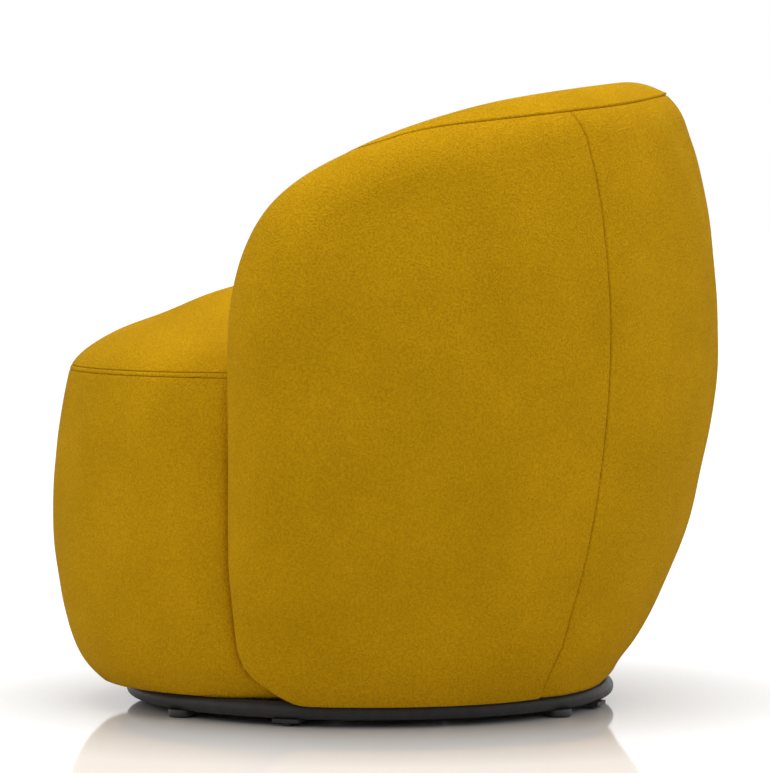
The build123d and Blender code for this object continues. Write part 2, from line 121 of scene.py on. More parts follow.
def coat_nodes(names, material):
    """Give CAD nodes a finish."""
    for name in names:
        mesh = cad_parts[name].data
        mesh.materials.clear()
        mesh.materials.append(material)


def placed(name, data):
    """Object in the scene for a mesh, a lamp or a camera."""
    thing = bpy.data.objects.new(name, data)
    bpy.context.scene.collection.objects.link(thing)
    return thing


def fit(piece, body, node=None):
    """Carry a piece on a body, in place of a CAD node where it stands for one."""
    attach(piece, body)
    if node:
        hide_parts(node)


coat, tree, shader = new_finish("satin_black_coat", (0.022, 0.022, 0.0225), 0.42, Specular_IOR_Level=0.12)
feed(shader, Base_Color=ramp(tree, grain(tree, 60, 4), grey(0.034), grey(0.046)),
     Roughness=ramp(tree, grain(tree, 180, 3), grey(0.36), grey(0.48)),
     Normal=bump(tree, grain(tree, 1100, 2), 0.12, 0.0002))
coat_nodes(("base_ring_front", "base_ring_rear", "cross_bar_long", "cross_bar_front", "cross_bar_rear",
            "bar_bolts"), coat)

moulded, tree, shader = new_finish("moulded_black_plastic", grey(0.017), 0.5)
feed(shader, Base_Color=ramp(tree, grain(tree, 90, 3), grey(0.013), grey(0.022)),
     Normal=bump(tree, grain(tree, 1600, 2), 0.2, 0.0002))
glides = [f"glide_{row}_{side}" for row in ("front", "rear") for side in ("left", "right")]
# Section of a glide as radius and height in mm: the screw's recess, the foot, the round side and the top
glide_profile = ((2.1, 3), (5.5, 3), (5.5, 0), (12.6, 0), (13.5, 0.4), (14.1, 1.2), (14.4, 2.6), (14.5, 4.2),
                 (14.5, 7.9), (14.3, 8.5), (13.8, 8.8), (2.1, 8.8))
glide_round_rows = range(3, 10)
glide_turns = np.radians(np.arange(0, 360, 9))
rows, around = len(glide_profile), len(glide_turns)
for name in glides:
    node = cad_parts[name]
    centre = sum((node.matrix_world @ Vector(corner) for corner in node.bound_box), Vector()) / 8
    spots = [(centre.x + radius * math.sin(turn) / 1000, centre.y + radius * math.cos(turn) / 1000, z / 1000)
             for turn in glide_turns for radius, z in glide_profile]
    faces = []
    for k in range(around):
        ahead = (k + 1) % around
        for i in range(rows):
            above = (i + 1) % rows
            faces.append((k * rows + i, k * rows + above, ahead * rows + above, ahead * rows + i))
    mesh = bpy.data.meshes.new(name.replace("glide", "glide_foot"))
    mesh.from_pydata(spots, [], faces)
    round_side = [i in glide_round_rows for _ in range(around) for i in range(rows)]
    mesh.polygons.foreach_set("use_smooth", round_side)
    mesh.materials.append(moulded)
    fit(placed(mesh.name, mesh), "base", name)

# Swivel bearing and fasteners.
# Two pressed steel plates run on a ring of polished balls kept apart by a flat retainer, and a king bolt
# keeps them together. Plates and fasteners are zinc plated.
zinc, tree, shader = new_finish("zinc_plate", (0.6, 0.6, 0.58), 0.38, Metallic=1)
feed(shader, Base_Color=ramp(tree, grain(tree, 70, 5), (0.5, 0.5, 0.48), (0.7, 0.7, 0.69)),
     Roughness=ramp(tree, grain(tree, 240, 3), grey(0.28), grey(0.48)),
     Normal=bump(tree, grain(tree, 900, 2), 0.08, 0.0002))
coat_nodes(("swivel_lower_plate", "swivel_upper_plate", "ball_retainer", "glide_screws",
            "lower_plate_bolts", "lower_plate_nuts", "king_bolt", "king_washer", "king_nut",
            "upper_plate_bolts", "tee_nuts", "frame_screws"), zinc)

ball_steel, tree, shader = new_finish("ball_steel", (0.72, 0.72, 0.73), 0.12, Metallic=1)
feed(shader, Roughness=ramp(tree, grain(tree, 400, 2), grey(0.08), grey(0.18)))
coat_nodes(("bearing_balls",), ball_steel)

# Plywood frame.
# Board, ribs, rails and bent front panel are sawn from birch plywood, sanded, left bare and screwed
# together. The covers hide them all.
plywood, tree, shader = new_finish("birch_plywood", (0.66, 0.5, 0.32), 0.62)
veins = grain(tree, 26, 6, (1, 9, 1))
feed(shader, Base_Color=ramp(tree, veins, (0.52, 0.37, 0.21), (0.74, 0.58, 0.38)),
     Normal=bump(tree, veins, 0.2, 0.0004))
ribs = ["rib_back"] + [f"rib_{row}_{side}" for row in ("seam", "arm", "front") for side in ("left", "right")]
coat_nodes((*ribs, "base_board", "seat_rail", "top_rail", "front_panel"), plywood)

# Seat straps.
# Elastic webbing in two sets of five, woven over and under each other across the seat rail. Each cut end
# is held on the rail by three flat wire staples.
MM = 0.001
strap_width = 55.0
strap_thickness = 1.6
strap_spacing = 76.0
strap_lap = 25.0
strap_columns = 13
strap_rows = 81
edge_bevel = 0.4
edge_thinned = 0.3
climb_start, climb_end = 38.0, 27.5
staple_asides = (-17, 0, 17)
staple_inset = 9.0
staple_lift = 0.25
rail_top_z = 330.0
rail_inner_radius = 190.0
seat_y = -65.0
strap_places = (np.arange(5) - 2) * strap_spacing


def smooth(start, end, x):
    """Smooth step from 0 at start to 1 at end."""
    t = np.clip((x - start) / (end - start), 0, 1)
    return t * t * (3 - 2 * t)


def make_piece(name, points, faces, material):
    """Smooth mesh piece from points in mm."""
    mesh = bpy.data.meshes.new(name)
    mesh.from_pydata((np.asarray(points) * MM).tolist(), [], [list(map(int, face)) for face in faces])
    mesh.validate()
    mesh.polygons.foreach_set("use_smooth", [True] * len(mesh.polygons))
    mesh.materials.append(material)
    return placed(name, mesh)


webbing, tree, shader = new_finish("elastic_webbing", (0.05, 0.045, 0.04), 0.85)
laid = add_node(tree, "ShaderNodeUVMap", uv_map="strap")
cords = add_node(tree, "ShaderNodeTexWave", bands_direction="X", Scale=90)
picks = add_node(tree, "ShaderNodeTexWave", bands_direction="Y", Scale=160)
wire(tree, (laid, "UV", cords, "Vector"), (laid, "UV", picks, "Vector"))
# Bands along the cords, painted darker in the grooves between them as painted shade, and the same bands give
# the rib bump
painted_rib_groove_shade = ramp(tree, cords.outputs["Fac"], (0.022, 0.02, 0.019), (0.075, 0.068, 0.06), 0.2, 0.8)
under_picks = bump(tree, picks.outputs["Fac"], 0.35, 0.0003)
feed(shader, Base_Color=painted_rib_groove_shade, Normal=bump(tree, cords.outputs["Fac"], 0.6, 0.0006, under_picks))

across = np.concatenate([np.linspace(-1, 1, strap_columns), np.linspace(1, -1, strap_columns)])
across *= strap_width / 2 - edge_bevel
left_edge = [0, 2 * strap_columns - 1]
right_edge = [strap_columns - 1, strap_columns]
across[left_edge] = -strap_width / 2
across[right_edge] = strap_width / 2
rise = np.repeat((-0.5, 0.5), strap_columns) * strap_thickness
rise[left_edge + right_edge] *= edge_thinned
count = len(across)
staple_spots = []
for name, turned in (("webbing_across_straps", False), ("webbing_along_straps", True)):
    points, faces, laid_at = [], [], []
    for row, place in enumerate(strap_places):
        reach = math.sqrt(rail_inner_radius**2 - place**2)
        run = np.linspace(-reach - strap_lap, reach + strap_lap, strap_rows)
        level = np.zeros(strap_rows)
        for column, crossing in enumerate(strap_places):
            over = (row + column + turned) % 2
            near = smooth(climb_start, climb_end, np.abs(run - crossing)) * (abs(crossing) < reach)
            level += over * near
        first = len(points)
        for along, height in zip(run, rail_top_z + strap_thickness * (0.5 + level)):
            for aside, lift_with_contact_shade in zip(across, rise):
                spot = (place + aside, along) if turned else (along, place + aside)
                points.append((spot[0], seat_y + spot[1], height + lift_with_contact_shade))
                laid_at.append((aside * MM, along * MM))
        for step in range(strap_rows - 1):
            for k in range(count):
                a, b = first + step * count + k, first + step * count + (k + 1) % count
                faces.append((a, b, b + count, a + count) if turned else (a, a + count, b + count, b))
        head = [first + k for k in range(count)]
        foot = [first + (strap_rows - 1) * count + k for k in range(count)]
        faces += [head[::-1], foot] if turned else [head, foot[::-1]]
        for end in (-1, 1):
            for aside in staple_asides:
                along = end * (reach + strap_lap - staple_inset)
                spot = (place + aside, along) if turned else (along, place + aside)
                staple_spots.append((spot[0], seat_y + spot[1], rail_top_z + strap_thickness + staple_lift,
                                     0.0, 0.0, 0.0 if turned else math.pi / 2))
    strap = make_piece(name, points, faces, webbing)
    layer = strap.data.uv_layers.new(name="strap")
    for loop in strap.data.loops:
        layer.data[loop.index].uv = laid_at[loop.vertex_index]
    fit(strap, "chair", name.replace("_straps", ""))


def repeat_tree(name, sizes):
    """Geometry Nodes tree with named sizes in metres, and its input and output nodes."""
    tree = bpy.data.node_groups.new(name, "GeometryNodeTree")
    tree.interface.new_socket("Places", in_out="INPUT", socket_type="NodeSocketGeometry")
    for size in sizes:
        tree.interface.new_socket(size, in_out="INPUT", socket_type="NodeSocketFloat")
    tree.interface.new_socket("Finish", in_out="INPUT", socket_type="NodeSocketMaterial")
    tree.interface.new_socket("Made", in_out="OUTPUT", socket_type="NodeSocketGeometry")
    return tree, tree.nodes.new("NodeGroupInput"), tree.nodes.new("NodeGroupOutput")


def finish_tree(tree, given, made, places, shape, rotation):
    """Put the shape on every place, as one plain mesh with its finish."""
    put = add_node(tree, "GeometryNodeInstanceOnPoints")
    plain = add_node(tree, "GeometryNodeRealizeInstances")
    coated = add_node(tree, "GeometryNodeSetMaterial")
    wire(tree, (*places, put, "Points"), (*shape, put, "Instance"), (*rotation, put, "Rotation"),
         (put, "Instances", plain, "Geometry"), (plain, "Geometry", coated, "Geometry"),
         (given, "Finish", coated, "Material"), (coated, "Geometry", made, "Made"))


def repeated(name, tree, points, edges, turns, values):
    """Plain mesh piece that a tree makes on points in mm."""
    mesh = bpy.data.meshes.new(name + "_places")
    mesh.from_pydata((np.asarray(points) * MM).tolist(), edges, [])
    if turns is not None:
        spin = mesh.attributes.new("turn", "FLOAT_VECTOR", "POINT")
        spin.data.foreach_set("vector", np.asarray(turns, float).ravel())
    holder = placed(name + "_places", mesh)
    modifier = holder.modifiers.new("repeat", "NODES")
    modifier.node_group = tree
    for item in tree.interface.items_tree:
        if item.in_out == "INPUT" and item.name in values:
            modifier[item.identifier] = values[item.name]
    seen_as = holder.evaluated_get(bpy.context.evaluated_depsgraph_get())
    made = bpy.data.meshes.new_from_object(seen_as)
    bpy.data.objects.remove(holder)
    return placed(name, made)


staple_tree, given, made = repeat_tree("wire_staples", ("Crown", "Leg", "Width", "Gauge"))
crown_size = add_node(staple_tree, "ShaderNodeCombineXYZ")
leg_size = add_node(staple_tree, "ShaderNodeCombineXYZ")
crown_bar = add_node(staple_tree, "GeometryNodeMeshCube")
leg_bar = add_node(staple_tree, "GeometryNodeMeshCube")
staple = add_node(staple_tree, "GeometryNodeJoinGeometry")
spread = math_node(staple_tree, "SUBTRACT")
wire(staple_tree, (given, "Crown", crown_size, "X"), (given, "Width", crown_size, "Y"),
     (given, "Gauge", crown_size, "Z"), (given, "Gauge", leg_size, "X"), (given, "Width", leg_size, "Y"),
     (given, "Leg", leg_size, "Z"), (crown_size, "Vector", crown_bar, "Size"),
     (leg_size, "Vector", leg_bar, "Size"), (given, "Crown", spread, 0), (given, "Gauge", spread, 1),
     (crown_bar, "Mesh", staple, "Geometry"))
for side in (-0.5, 0.5):
    aside = math_node(staple_tree, "MULTIPLY", side)
    below = math_node(staple_tree, "MULTIPLY", -0.5)
    offset = add_node(staple_tree, "ShaderNodeCombineXYZ")
    leg = add_node(staple_tree, "GeometryNodeTransform")
    wire(staple_tree, (spread, "Value", aside, 0), (given, "Leg", below, 0), (aside, "Value", offset, "X"),
         (below, "Value", offset, "Z"), (leg_bar, "Mesh", leg, "Geometry"),
         (offset, "Vector", leg, "Translation"), (leg, "Geometry", staple, "Geometry"))
stored = add_node(staple_tree, "GeometryNodeInputNamedAttribute", data_type="FLOAT_VECTOR", Name="turn")
as_turn = add_node(staple_tree, "FunctionNodeEulerToRotation")
wire(staple_tree, (stored, "Attribute", as_turn, "Euler"))
finish_tree(staple_tree, given, made, (given, "Places"), (staple, "Geometry"), (as_turn, "Rotation"))
staple_sizes = {"Crown": 0.0105, "Leg": 0.003, "Width": 0.0012, "Gauge": 0.0005, "Finish": zinc}
staple_spots = np.array(staple_spots)
strap_staples = repeated("strap_staples", staple_tree, staple_spots[:, :3], [], staple_spots[:, 3:],
                         staple_sizes)
fit(strap_staples, "chair")

# Outer side covers.
# Each is one padded piece of the mustard pile fabric, sewn to the back cover behind and to the inside
# cover along the top, and wrapped round the front of the arm to a seam on its inner face.
foot_z = 29.0
foot_radius = 277.0
belly_z = 415.0
belly_radius = 400.0
rim_z = 740.0
rim_radius = 341.0
outer_roll = 60.0
inner_roll = 50.0
hem_roll = 13.0
hem_spread = 15.0
hem_hang = 6.2
hang_angle = 45.0
hang_lip = 3.0
spread_start_z, spread_end_z = 130.0, 25.0
lip_roll = 3.5
roll_start_z, roll_end_z = 45.0, 330.0
hem_inner_radius = 282.5
well_y = -35.0
well_radius = 266.0
well_straight_z = 470.0
well_rim_radius = 285.0
well_flare_z = 300.0
well_draw, well_draw_depth = 0.9, 250.0
nose_y = -154.5
nose_top_z = 400.0
heel_y = -47.0
heel_z = 21.0
corner_knots = ((heel_y, heel_z), (-74, 23.5), (-99.5, 34), (-120, 48), (-136, 62), (-144.3, 82),
                (-147.8, 106), (-151.6, 145), (nose_y, 190))
crest_knots = ((nose_y, nose_top_z), (-146.5, 492), (-108, 573.5), (-40, 624), (86, 673.4), (130, 685),
               (207, 699), (297, 712.6), (420, 730))
crest_slope = 0.13
hem_seam_angle = 49.3
rim_seam_angle = 50.2
rim_lean = 0.26


def arc_radius(inset, rise):
    """Radius of an arc that leaves upright and moves in by an inset over a rise."""
    return (inset**2 + rise**2) / (2 * inset)


lower_arc = arc_radius(belly_radius - foot_radius, belly_z - foot_z)
upper_arc = arc_radius(belly_radius - rim_radius, belly_z - rim_z)
well_arc = arc_radius(well_rim_radius - well_radius, rim_z - well_straight_z)


def barrel_radius(z):
    """Radius of the barrel at a height."""
    arc = np.where(z < belly_z, lower_arc, upper_arc)
    return belly_radius - arc + np.sqrt(np.maximum(arc**2 - (z - belly_z) ** 2, 0))


def well_wall(z):
    """Radius of the seat well at a height, drawn in below the seat where nothing shows."""
    rise = np.clip(z - well_straight_z, 0, None)
    opened = well_arc - np.sqrt(np.maximum(well_arc**2 - rise**2, 0))
    return well_radius + opened - well_draw * np.clip(well_flare_z - z, 0, well_draw_depth)


def clamped_spline(knots, start, end, steps):
    """Smooth curve through knots, leaving and arriving along given directions."""
    knots = np.array(knots, float)
    chords = np.linalg.norm(np.diff(knots, axis=0), axis=1)
    count = len(knots)
    system = np.eye(count)
    right = np.zeros((count, 2))
    right[0] = np.array(start) / np.linalg.norm(start)
    right[-1] = np.array(end) / np.linalg.norm(end)
    for i in range(1, count - 1):
        before, after = chords[i - 1], chords[i]
        system[i] = 0
        system[i, i - 1:i + 2] = after, 2 * (before + after), before
        arriving, leaving = knots[i] - knots[i - 1], knots[i + 1] - knots[i]
        right[i] = 3 * (after * arriving / before + before * leaving / after)
    slopes = np.linalg.solve(system, right)
    t = np.linspace(0, 1, steps, endpoint=False)[:, None]
    runs = [(2 * t**3 - 3 * t**2 + 1) * knots[i] + (t**3 - 2 * t**2 + t) * chords[i] * slopes[i]
            + (3 * t**2 - 2 * t**3) * knots[i + 1] + (t**3 - t**2) * chords[i] * slopes[i + 1]
            for i in range(count - 1)]
    return np.vstack([*runs, knots[-1:]])


corner_arc = clamped_spline(corner_knots, (-1, 0), (0, 1), 5)
nose_line = np.column_stack([np.full(20, nose_y), np.linspace(corner_knots[-1][1], nose_top_z, 20)])
crest = clamped_spline(crest_knots, (0, 1), (1, crest_slope), 90)
behind_y, tail_length = 700, 300
tail = crest[-1] + np.outer(np.linspace(0, tail_length, 5), (1, crest_slope))
outline = np.vstack([[[behind_y, heel_z]], corner_arc, nose_line[1:], crest[1:], tail[1:]])


def outline_distance(points):
    """Signed distance of side-view points from the arm's outline, positive outside it."""
    best = np.full(len(points), 1e9)
    side = np.ones(len(points))
    for start, step in zip(outline[:-1], np.diff(outline, axis=0)):
        away = points - start
        share = np.clip(away @ step / (step @ step), 0, 1)
        apart = np.hypot(*(away - np.outer(share, step)).T)
        nearer = apart < best
        best[nearer] = apart[nearer]
        side[nearer] = np.sign(step[0] * away[nearer, 1] - step[1] * away[nearer, 0])
    return best * side


map_step = 4.0
map_y = np.arange(-320, 560, map_step)
map_z = np.arange(-80, 920, map_step)
map_points = np.stack(np.meshgrid(map_y, map_z, indexing="ij"), -1)
outline_map = outline_distance(map_points.reshape(-1, 2)).reshape(len(map_y), len(map_z))


def outline_gap(y, z):
    """Distance outside the arm's outline, read off the map."""
    i = np.clip((y - map_y[0]) / map_step, 0, len(map_y) - 1.001)
    j = np.clip((z - map_z[0]) / map_step, 0, len(map_z) - 1.001)
    a, b = i.astype(int), j.astype(int)
    u, v = i - a, j - b
    near = outline_map[a, b] * (1 - u) + outline_map[a + 1, b] * u
    far = outline_map[a, b + 1] * (1 - u) + outline_map[a + 1, b + 1] * u
    return near * (1 - v) + far * v


def rounded(a, b, roll):
    """Both of two spaces, with the edge between them rounded."""
    corner = np.hypot(np.maximum(a + roll, 0), np.maximum(b + roll, 0))
    return np.minimum(np.maximum(a, b), -roll) + corner


def shell_gap(points):
    """Distance outside the padded shell."""
    x, y, z = points[..., 0], points[..., 1], points[..., 2]
    arc = np.where(z < belly_z, lower_arc, upper_arc)
    radius = np.hypot(x, y)
    hang = smooth(0, hang_angle, np.degrees(np.arctan2(np.abs(x), y)))
    spread = hem_spread * hang * smooth(spread_start_z, spread_end_z, z)
    barrel = np.hypot(radius - spread - (belly_radius - arc), z - belly_z) - arc
    roll = lip_roll + (outer_roll - lip_roll) * smooth(roll_start_z, roll_end_z, z)
    body = rounded(barrel, outline_gap(y, z), roll)
    body = rounded(body, well_wall(z) - np.hypot(x, y - well_y), inner_roll)
    foot = foot_z - hem_hang * hang * smooth(hem_inner_radius, hem_inner_radius + hang_lip, radius)
    return rounded(body, foot - z, hem_roll + (lip_roll - hem_roll) * hang)


def meet_shell(source, direction, reach=420.0):
    """Points where rays from inside the padding leave the shell, or where rays from outside enter it."""
    source = np.broadcast_to(source, direction.shape).astype(float)
    low = np.zeros(direction.shape[:-1])
    high = np.full(direction.shape[:-1], reach)
    first = shell_gap(source) < 0
    for _ in range(40):
        middle = (low + high) / 2
        same = (shell_gap(source + middle[..., None] * direction) < 0) == first
        low = np.where(same, middle, low)
        high = np.where(same, high, middle)
    return source + low[..., None] * direction


def shell_normal(points):
    """Direction straight out of the padding."""
    steps = 0.5 * np.eye(3)
    slope = np.stack([shell_gap(points + step) - shell_gap(points - step) for step in steps], -1)
    return slope / np.linalg.norm(slope, axis=-1, keepdims=True)


def unit(vectors):
    return vectors / np.linalg.norm(vectors, axis=-1, keepdims=True)


def plan_ways(turn):
    """Level directions at plan angles, in radians."""
    return np.stack([np.sin(turn), np.cos(turn), np.zeros_like(turn)], -1)


def lengths_along(line):
    """Length of a line up to each of its points."""
    return np.concatenate([[0], np.cumsum(np.linalg.norm(np.diff(line, axis=0), axis=1))])


upward = np.array((0, 0, 1))
across_x = np.array((-1, 1, 1))


# Line along the middle of the rolled edge: under the arm from the back seam, round its lower corner, up
# the arm front, over the bend and along the top to the middle of the back.
edge_depth = 50.0
hem_depth = 27.0
hem_level = heel_z + hem_depth
core_inset = 62.0
hem_inset = 26.0
hem_stations, crest_stations = 160, 420
bend_z = 572.0
arm_end_y = -40.0
rim_guess_z = 600.0
# Plan angles over which the edge's side view tilt comes in, and over which it leans in and out again
tilt_turns, lean_in_turns, lean_out_turns = (60, 88), (0, 45), (100, 75)
path = []


def core_point(y, z, inset):
    """Point of the line at a depth and height, set in from the barrel."""
    return np.array([math.sqrt(max((float(barrel_radius(z)) - inset) ** 2 - y**2, 0)), y, z])


hem_radius = float(barrel_radius(hem_level)) - hem_inset
heel_angle = math.degrees(math.acos(heel_y / hem_radius))
for angle in np.linspace(hem_seam_angle, heel_angle, hem_stations):
    y = hem_radius * math.cos(math.radians(angle))
    path.append((core_point(y, hem_level, hem_inset), (0.0, -1.0)))
edge_steps = np.diff(outline, axis=0)
edge_normals = unit(np.column_stack([-edge_steps[:, 1], edge_steps[:, 0]]))
vertex_normals = unit(edge_normals[:-1] + edge_normals[1:])
first_corner = 1
last_corner = len(corner_arc)
for i in range(first_corner + 1, len(outline) - 1):
    normal = vertex_normals[i - 1]
    share = min((i - first_corner) / (last_corner - first_corner), 1)
    depth = hem_depth + (edge_depth - hem_depth) * smooth(0.5, 1, share)
    inset = hem_inset + (core_inset - hem_inset) * smooth(0, 1, share)
    y, z = outline[i] - depth * normal
    if y > arm_end_y and z > nose_top_z:
        break
    path.append((core_point(y, z, inset), tuple(normal)))
    if outline[i, 1] <= bend_z:
        bend_index = len(path)
    if i <= (first_corner + last_corner) // 2:
        heel_index = len(path)
crest_normals = vertex_normals[last_corner - 1:]
crest_cores = outline[last_corner:-1] - edge_depth * crest_normals
rising = np.concatenate([[True], np.diff(np.maximum.accumulate(crest_cores[:, 0])) > 0])
crest_cores, crest_normals = crest_cores[rising], crest_normals[rising]
turn_in = math.degrees(math.atan2(path[-1][0][0], path[-1][0][1]))
for angle in np.linspace(turn_in, 0, crest_stations)[1:]:
    z = rim_guess_z
    for _ in range(12):
        y = (float(barrel_radius(z)) - core_inset) * math.cos(math.radians(angle))
        z = float(np.interp(y, crest_cores[:, 0], crest_cores[:, 1]))
    normal = [np.interp(y, crest_cores[:, 0], crest_normals[:, k]) for k in (0, 1)]
    path.append((core_point(y, z, core_inset), tuple(normal)))
    if angle > rim_seam_angle:
        seam_index = len(path)

path_core = np.array([core for core, _ in path])
path_normal = np.array([(0, *normal) for _, normal in path])
path_length = lengths_along(path_core)
plan_angle = np.arctan2(path_core[:, 0], path_core[:, 1])
out_angle = np.minimum(plan_angle, math.pi / 2)
path_out = plan_ways(out_angle)
sideways = np.column_stack([np.cos(out_angle), -np.sin(out_angle), np.zeros(len(path))])
kept = smooth(*np.radians(tilt_turns), plan_angle)[:, None]
path_normal = unit(path_normal - (1 - kept) * (path_normal * sideways).sum(1, keepdims=True) * sideways)
turned = np.degrees(plan_angle)
lean = rim_lean * smooth(*lean_in_turns, turned) * smooth(*lean_out_turns, turned)
lean = lean * (np.arange(len(path)) > bend_index)
path_normal = unit(path_normal + lean[:, None] * sideways)


def stations(lengths):
    """Core points, outward and upward directions at lengths along the rolled edge."""
    def read(values):
        return np.column_stack([np.interp(lengths, path_length, values[:, k]) for k in range(3)])
    return read(path_core), unit(read(path_out)), unit(read(path_normal))


def edge_points(lengths, angles):
    """Points of the shell at angles round the rolled edge, from 0 outside to 180 inside, for each station."""
    core, out, up = stations(lengths)
    turn = np.radians(angles)[..., None]
    direction = unit(np.cos(turn) * out[:, None] + np.sin(turn) * up[:, None])
    return meet_shell(core[:, None], direction)


# Back seam as heights and plan angles, top seam as a side view line that then crosses the arm
rim_level = path_core[seam_index, 2]
back_seam_knots = ((hem_level, hem_seam_angle), (82, 48.0), (114, 47.8), (184, 48.4), (330, 49.1),
                   (450, 48.8), (540, 49.0), (600, 49.35), (rim_level, rim_seam_angle))
back_seam_curve = clamped_spline(back_seam_knots, (1, 0), (1, 0.02), 20)
seam_line = ((-26, 632), (54, 655.5), (141, 667.5), (220, 677), (300, 689), (344, 699), (430, 716))
seam_curve = clamped_spline(seam_line, (1, 0.35), (1, 0.2), 12)
seam_cross_y = 48.0
crossing_length = 110.0
crossing_power = 1.7
seam_angle_guess = 45.0
least_seam_angle, most_seam_angle = 2.0, 110.0
inner_lead, rising_lead = 40.0, 120.0
hem_angle = 105.0
rising_levels = (hem_level + 1, 200, 335)
rising_angles = (hem_angle, 150, 180)


def back_seam_turn(z):
    """Plan angle of the back seam at a height."""
    return np.interp(z, back_seam_curve[:, 0], back_seam_curve[:, 1])


def seam_angles(lengths):
    """Angle round the rolled edge at which the side or back cover ends, for each length."""
    core, _, _ = stations(lengths)
    low = np.full(len(lengths), least_seam_angle)
    high = np.full(len(lengths), most_seam_angle)
    for _ in range(18):
        middle = (low + high) / 2
        hit = edge_points(lengths, middle[:, None])[:, 0]
        below = hit[:, 2] < np.interp(hit[:, 1], seam_curve[:, 0], seam_curve[:, 1])
        low = np.where(below, middle, low)
        high = np.where(below, high, middle)
    along_top = (low + high) / 2
    top = (lengths > path_length[bend_index]) & (core[:, 1] > seam_cross_y)
    first = along_top[top][0] if top.any() else seam_angle_guess
    crossed = np.clip((seam_cross_y - core[:, 1]) / crossing_length, 0, 1)
    crossing = first + (180 - first) * crossed**crossing_power
    angles = np.where(top, along_top, crossing)
    angles = np.where(lengths < path_length[bend_index] - inner_lead, 180.0, angles)
    rising_end = np.interp(core[:, 2], rising_levels, rising_angles)
    return np.where(lengths < path_length[bend_index] - rising_lead, rising_end, angles)


seam_steps = np.array((0, 0.6, 1.3, 2.1, 3.1, 4.4, 6.2, 8.8, 12.5, 17.5))


def graded(total, pitch, fine_start=False, fine_end=False, count=None):
    """Places from 0 to total, a pitch apart and finer towards the seams at its ends."""
    head = seam_steps if fine_start else seam_steps[:1]
    foot = total - seam_steps[::-1] if fine_end else np.array([total])
    if count is None:
        count = max(int(round((foot[0] - head[-1]) / pitch)), 2) + len(head) + len(foot) - 1
    middle = np.linspace(head[-1], foot[0], count - len(head) - len(foot) + 2)
    return np.concatenate([head, middle[1:-1], foot])


def coons(bottom, top, left, right):
    """Grid that fills four side curves, from plain blends of them."""
    u, v = lengths_along(bottom), lengths_along(right)
    u, v = (u / u[-1])[:, None, None], (v / v[-1])[None, :, None]
    ruled = (1 - v) * bottom[:, None] + v * top[:, None] + (1 - u) * left[None] + u * right[None]
    corners = ((1 - u) * (1 - v) * bottom[0] + u * (1 - v) * bottom[-1]
               + (1 - u) * v * top[0] + u * v * top[-1])
    return ruled - corners


sewing_steps = 50  # to a millimetre


def sewn(*grids):
    """Points and faces of grids, sewn where their edges coincide. Each comes with True to turn it over."""
    points = np.vstack([grid.reshape(-1, 3) for grid, _ in grids])
    quads = []
    first = 0
    for grid, flip in grids:
        index = np.arange(grid[..., 0].size).reshape(grid.shape[:2]) + first
        corners = np.stack([index[:-1, :-1], index[1:, :-1], index[1:, 1:], index[:-1, 1:]], -1)
        corners = corners.reshape(-1, 4)
        quads.append(corners[:, ::-1] if flip else corners)
        first += index.size
    keys = np.round(points * sewing_steps).astype(np.int64)
    _, kept, places = np.unique(keys, axis=0, return_index=True, return_inverse=True)
    faces = []
    for face in places.ravel()[np.vstack(quads)].tolist():
        corners = [p for k, p in enumerate(face) if p != face[k - 1]]
        if len(set(corners)) == len(corners) and len(corners) > 2:
            faces.append(corners)
    return points[kept], faces


def outer_edges(faces):
    """Edges that only one face uses, in that face's direction."""
    seen = {}
    for face in faces:
        for k, corner in enumerate(face):
            edge = (face[k - 1], corner)
            key = (min(edge), max(edge))
            seen[key] = None if key in seen else edge
    return [edge for edge in seen.values() if edge]


def point_tree(points):
    """Search tree over points."""
    found = KDTree(len(points))
    for k, point in enumerate(points):
        found.insert(point, k)
    found.balance()
    return found


def distance_to(points, line):
    """Distance from each point to the nearest point of a line."""
    line_tree = point_tree(line)
    return np.array([line_tree.find(point)[2] for point in points])


wave_count = 26


def soft_waves(points, seed, height, shortest, longest):
    """Slow random swells of a padded surface, in mm."""
    draw = np.random.default_rng(seed)
    total = np.zeros(len(points))
    for _ in range(wave_count):
        way = unit(draw.normal(size=3))
        length = draw.uniform(shortest, longest)
        total += np.sin(points @ way * (2 * math.pi / length) + draw.uniform(0, 2 * math.pi))
    return total * height / math.sqrt(wave_count / 2)


pad_depth = 10.0


def closed_pad(points, faces, outward, relief):
    """Surface raised by its relief in mm, and closed behind by a copy of itself."""
    count = len(points)
    front = points + relief[:, None] * outward
    solid = list(faces) + [[k + count for k in reversed(face)] for face in faces]
    solid += [[b, a, a + count, b + count] for a, b in outer_edges(faces)]
    return np.vstack([front, front - pad_depth * outward]), solid


pile, tree, shader = new_finish("mustard_pile", (0.55, 0.29, 0.002), 0.92, Sheen_Weight=0.03,
                                Sheen_Roughness=0.45, Sheen_Tint=(1.0, 0.75, 0.1, 1),
                                Specular_IOR_Level=0.03)
# Broad soft blotches in the pile's colour are partly its own uneven tone and partly painted shade of soft
# swells in the padding; fine flecks follow the pebble grain of the bump
pile_colour_and_swell_shade = add_node(tree, "ShaderNodeMix", data_type="RGBA", blend_type="MULTIPLY")
pile_colour_and_swell_shade.inputs["Factor"].default_value = 1
pile_tone_and_swell_shade = ramp(tree, grain(tree, 11, 2), (0.52, 0.276, 0.0034), (0.58, 0.308, 0.0044), 0.32, 0.68)
pebble = grain(tree, 420, 1.5)
fleck = ramp(tree, pebble, grey(0.81), grey(1.06), 0.32, 0.66)
tree.links.new(pile_tone_and_swell_shade, pile_colour_and_swell_shade.inputs["A"])
tree.links.new(fleck, pile_colour_and_swell_shade.inputs["B"])
nap = bump(tree, grain(tree, 90, 2), 0.15, 0.002)
feed(shader, Base_Color=pile_colour_and_swell_shade.outputs["Result"], Normal=bump(tree, pebble, 1.0, 0.002, nap))


def sew_cover(name, node, points, faces, fill):
    """Padded cover in the pile fabric that stands for a CAD node."""
    cover = make_piece(name, points, faces, pile)
    fit(cover, "chair", node)


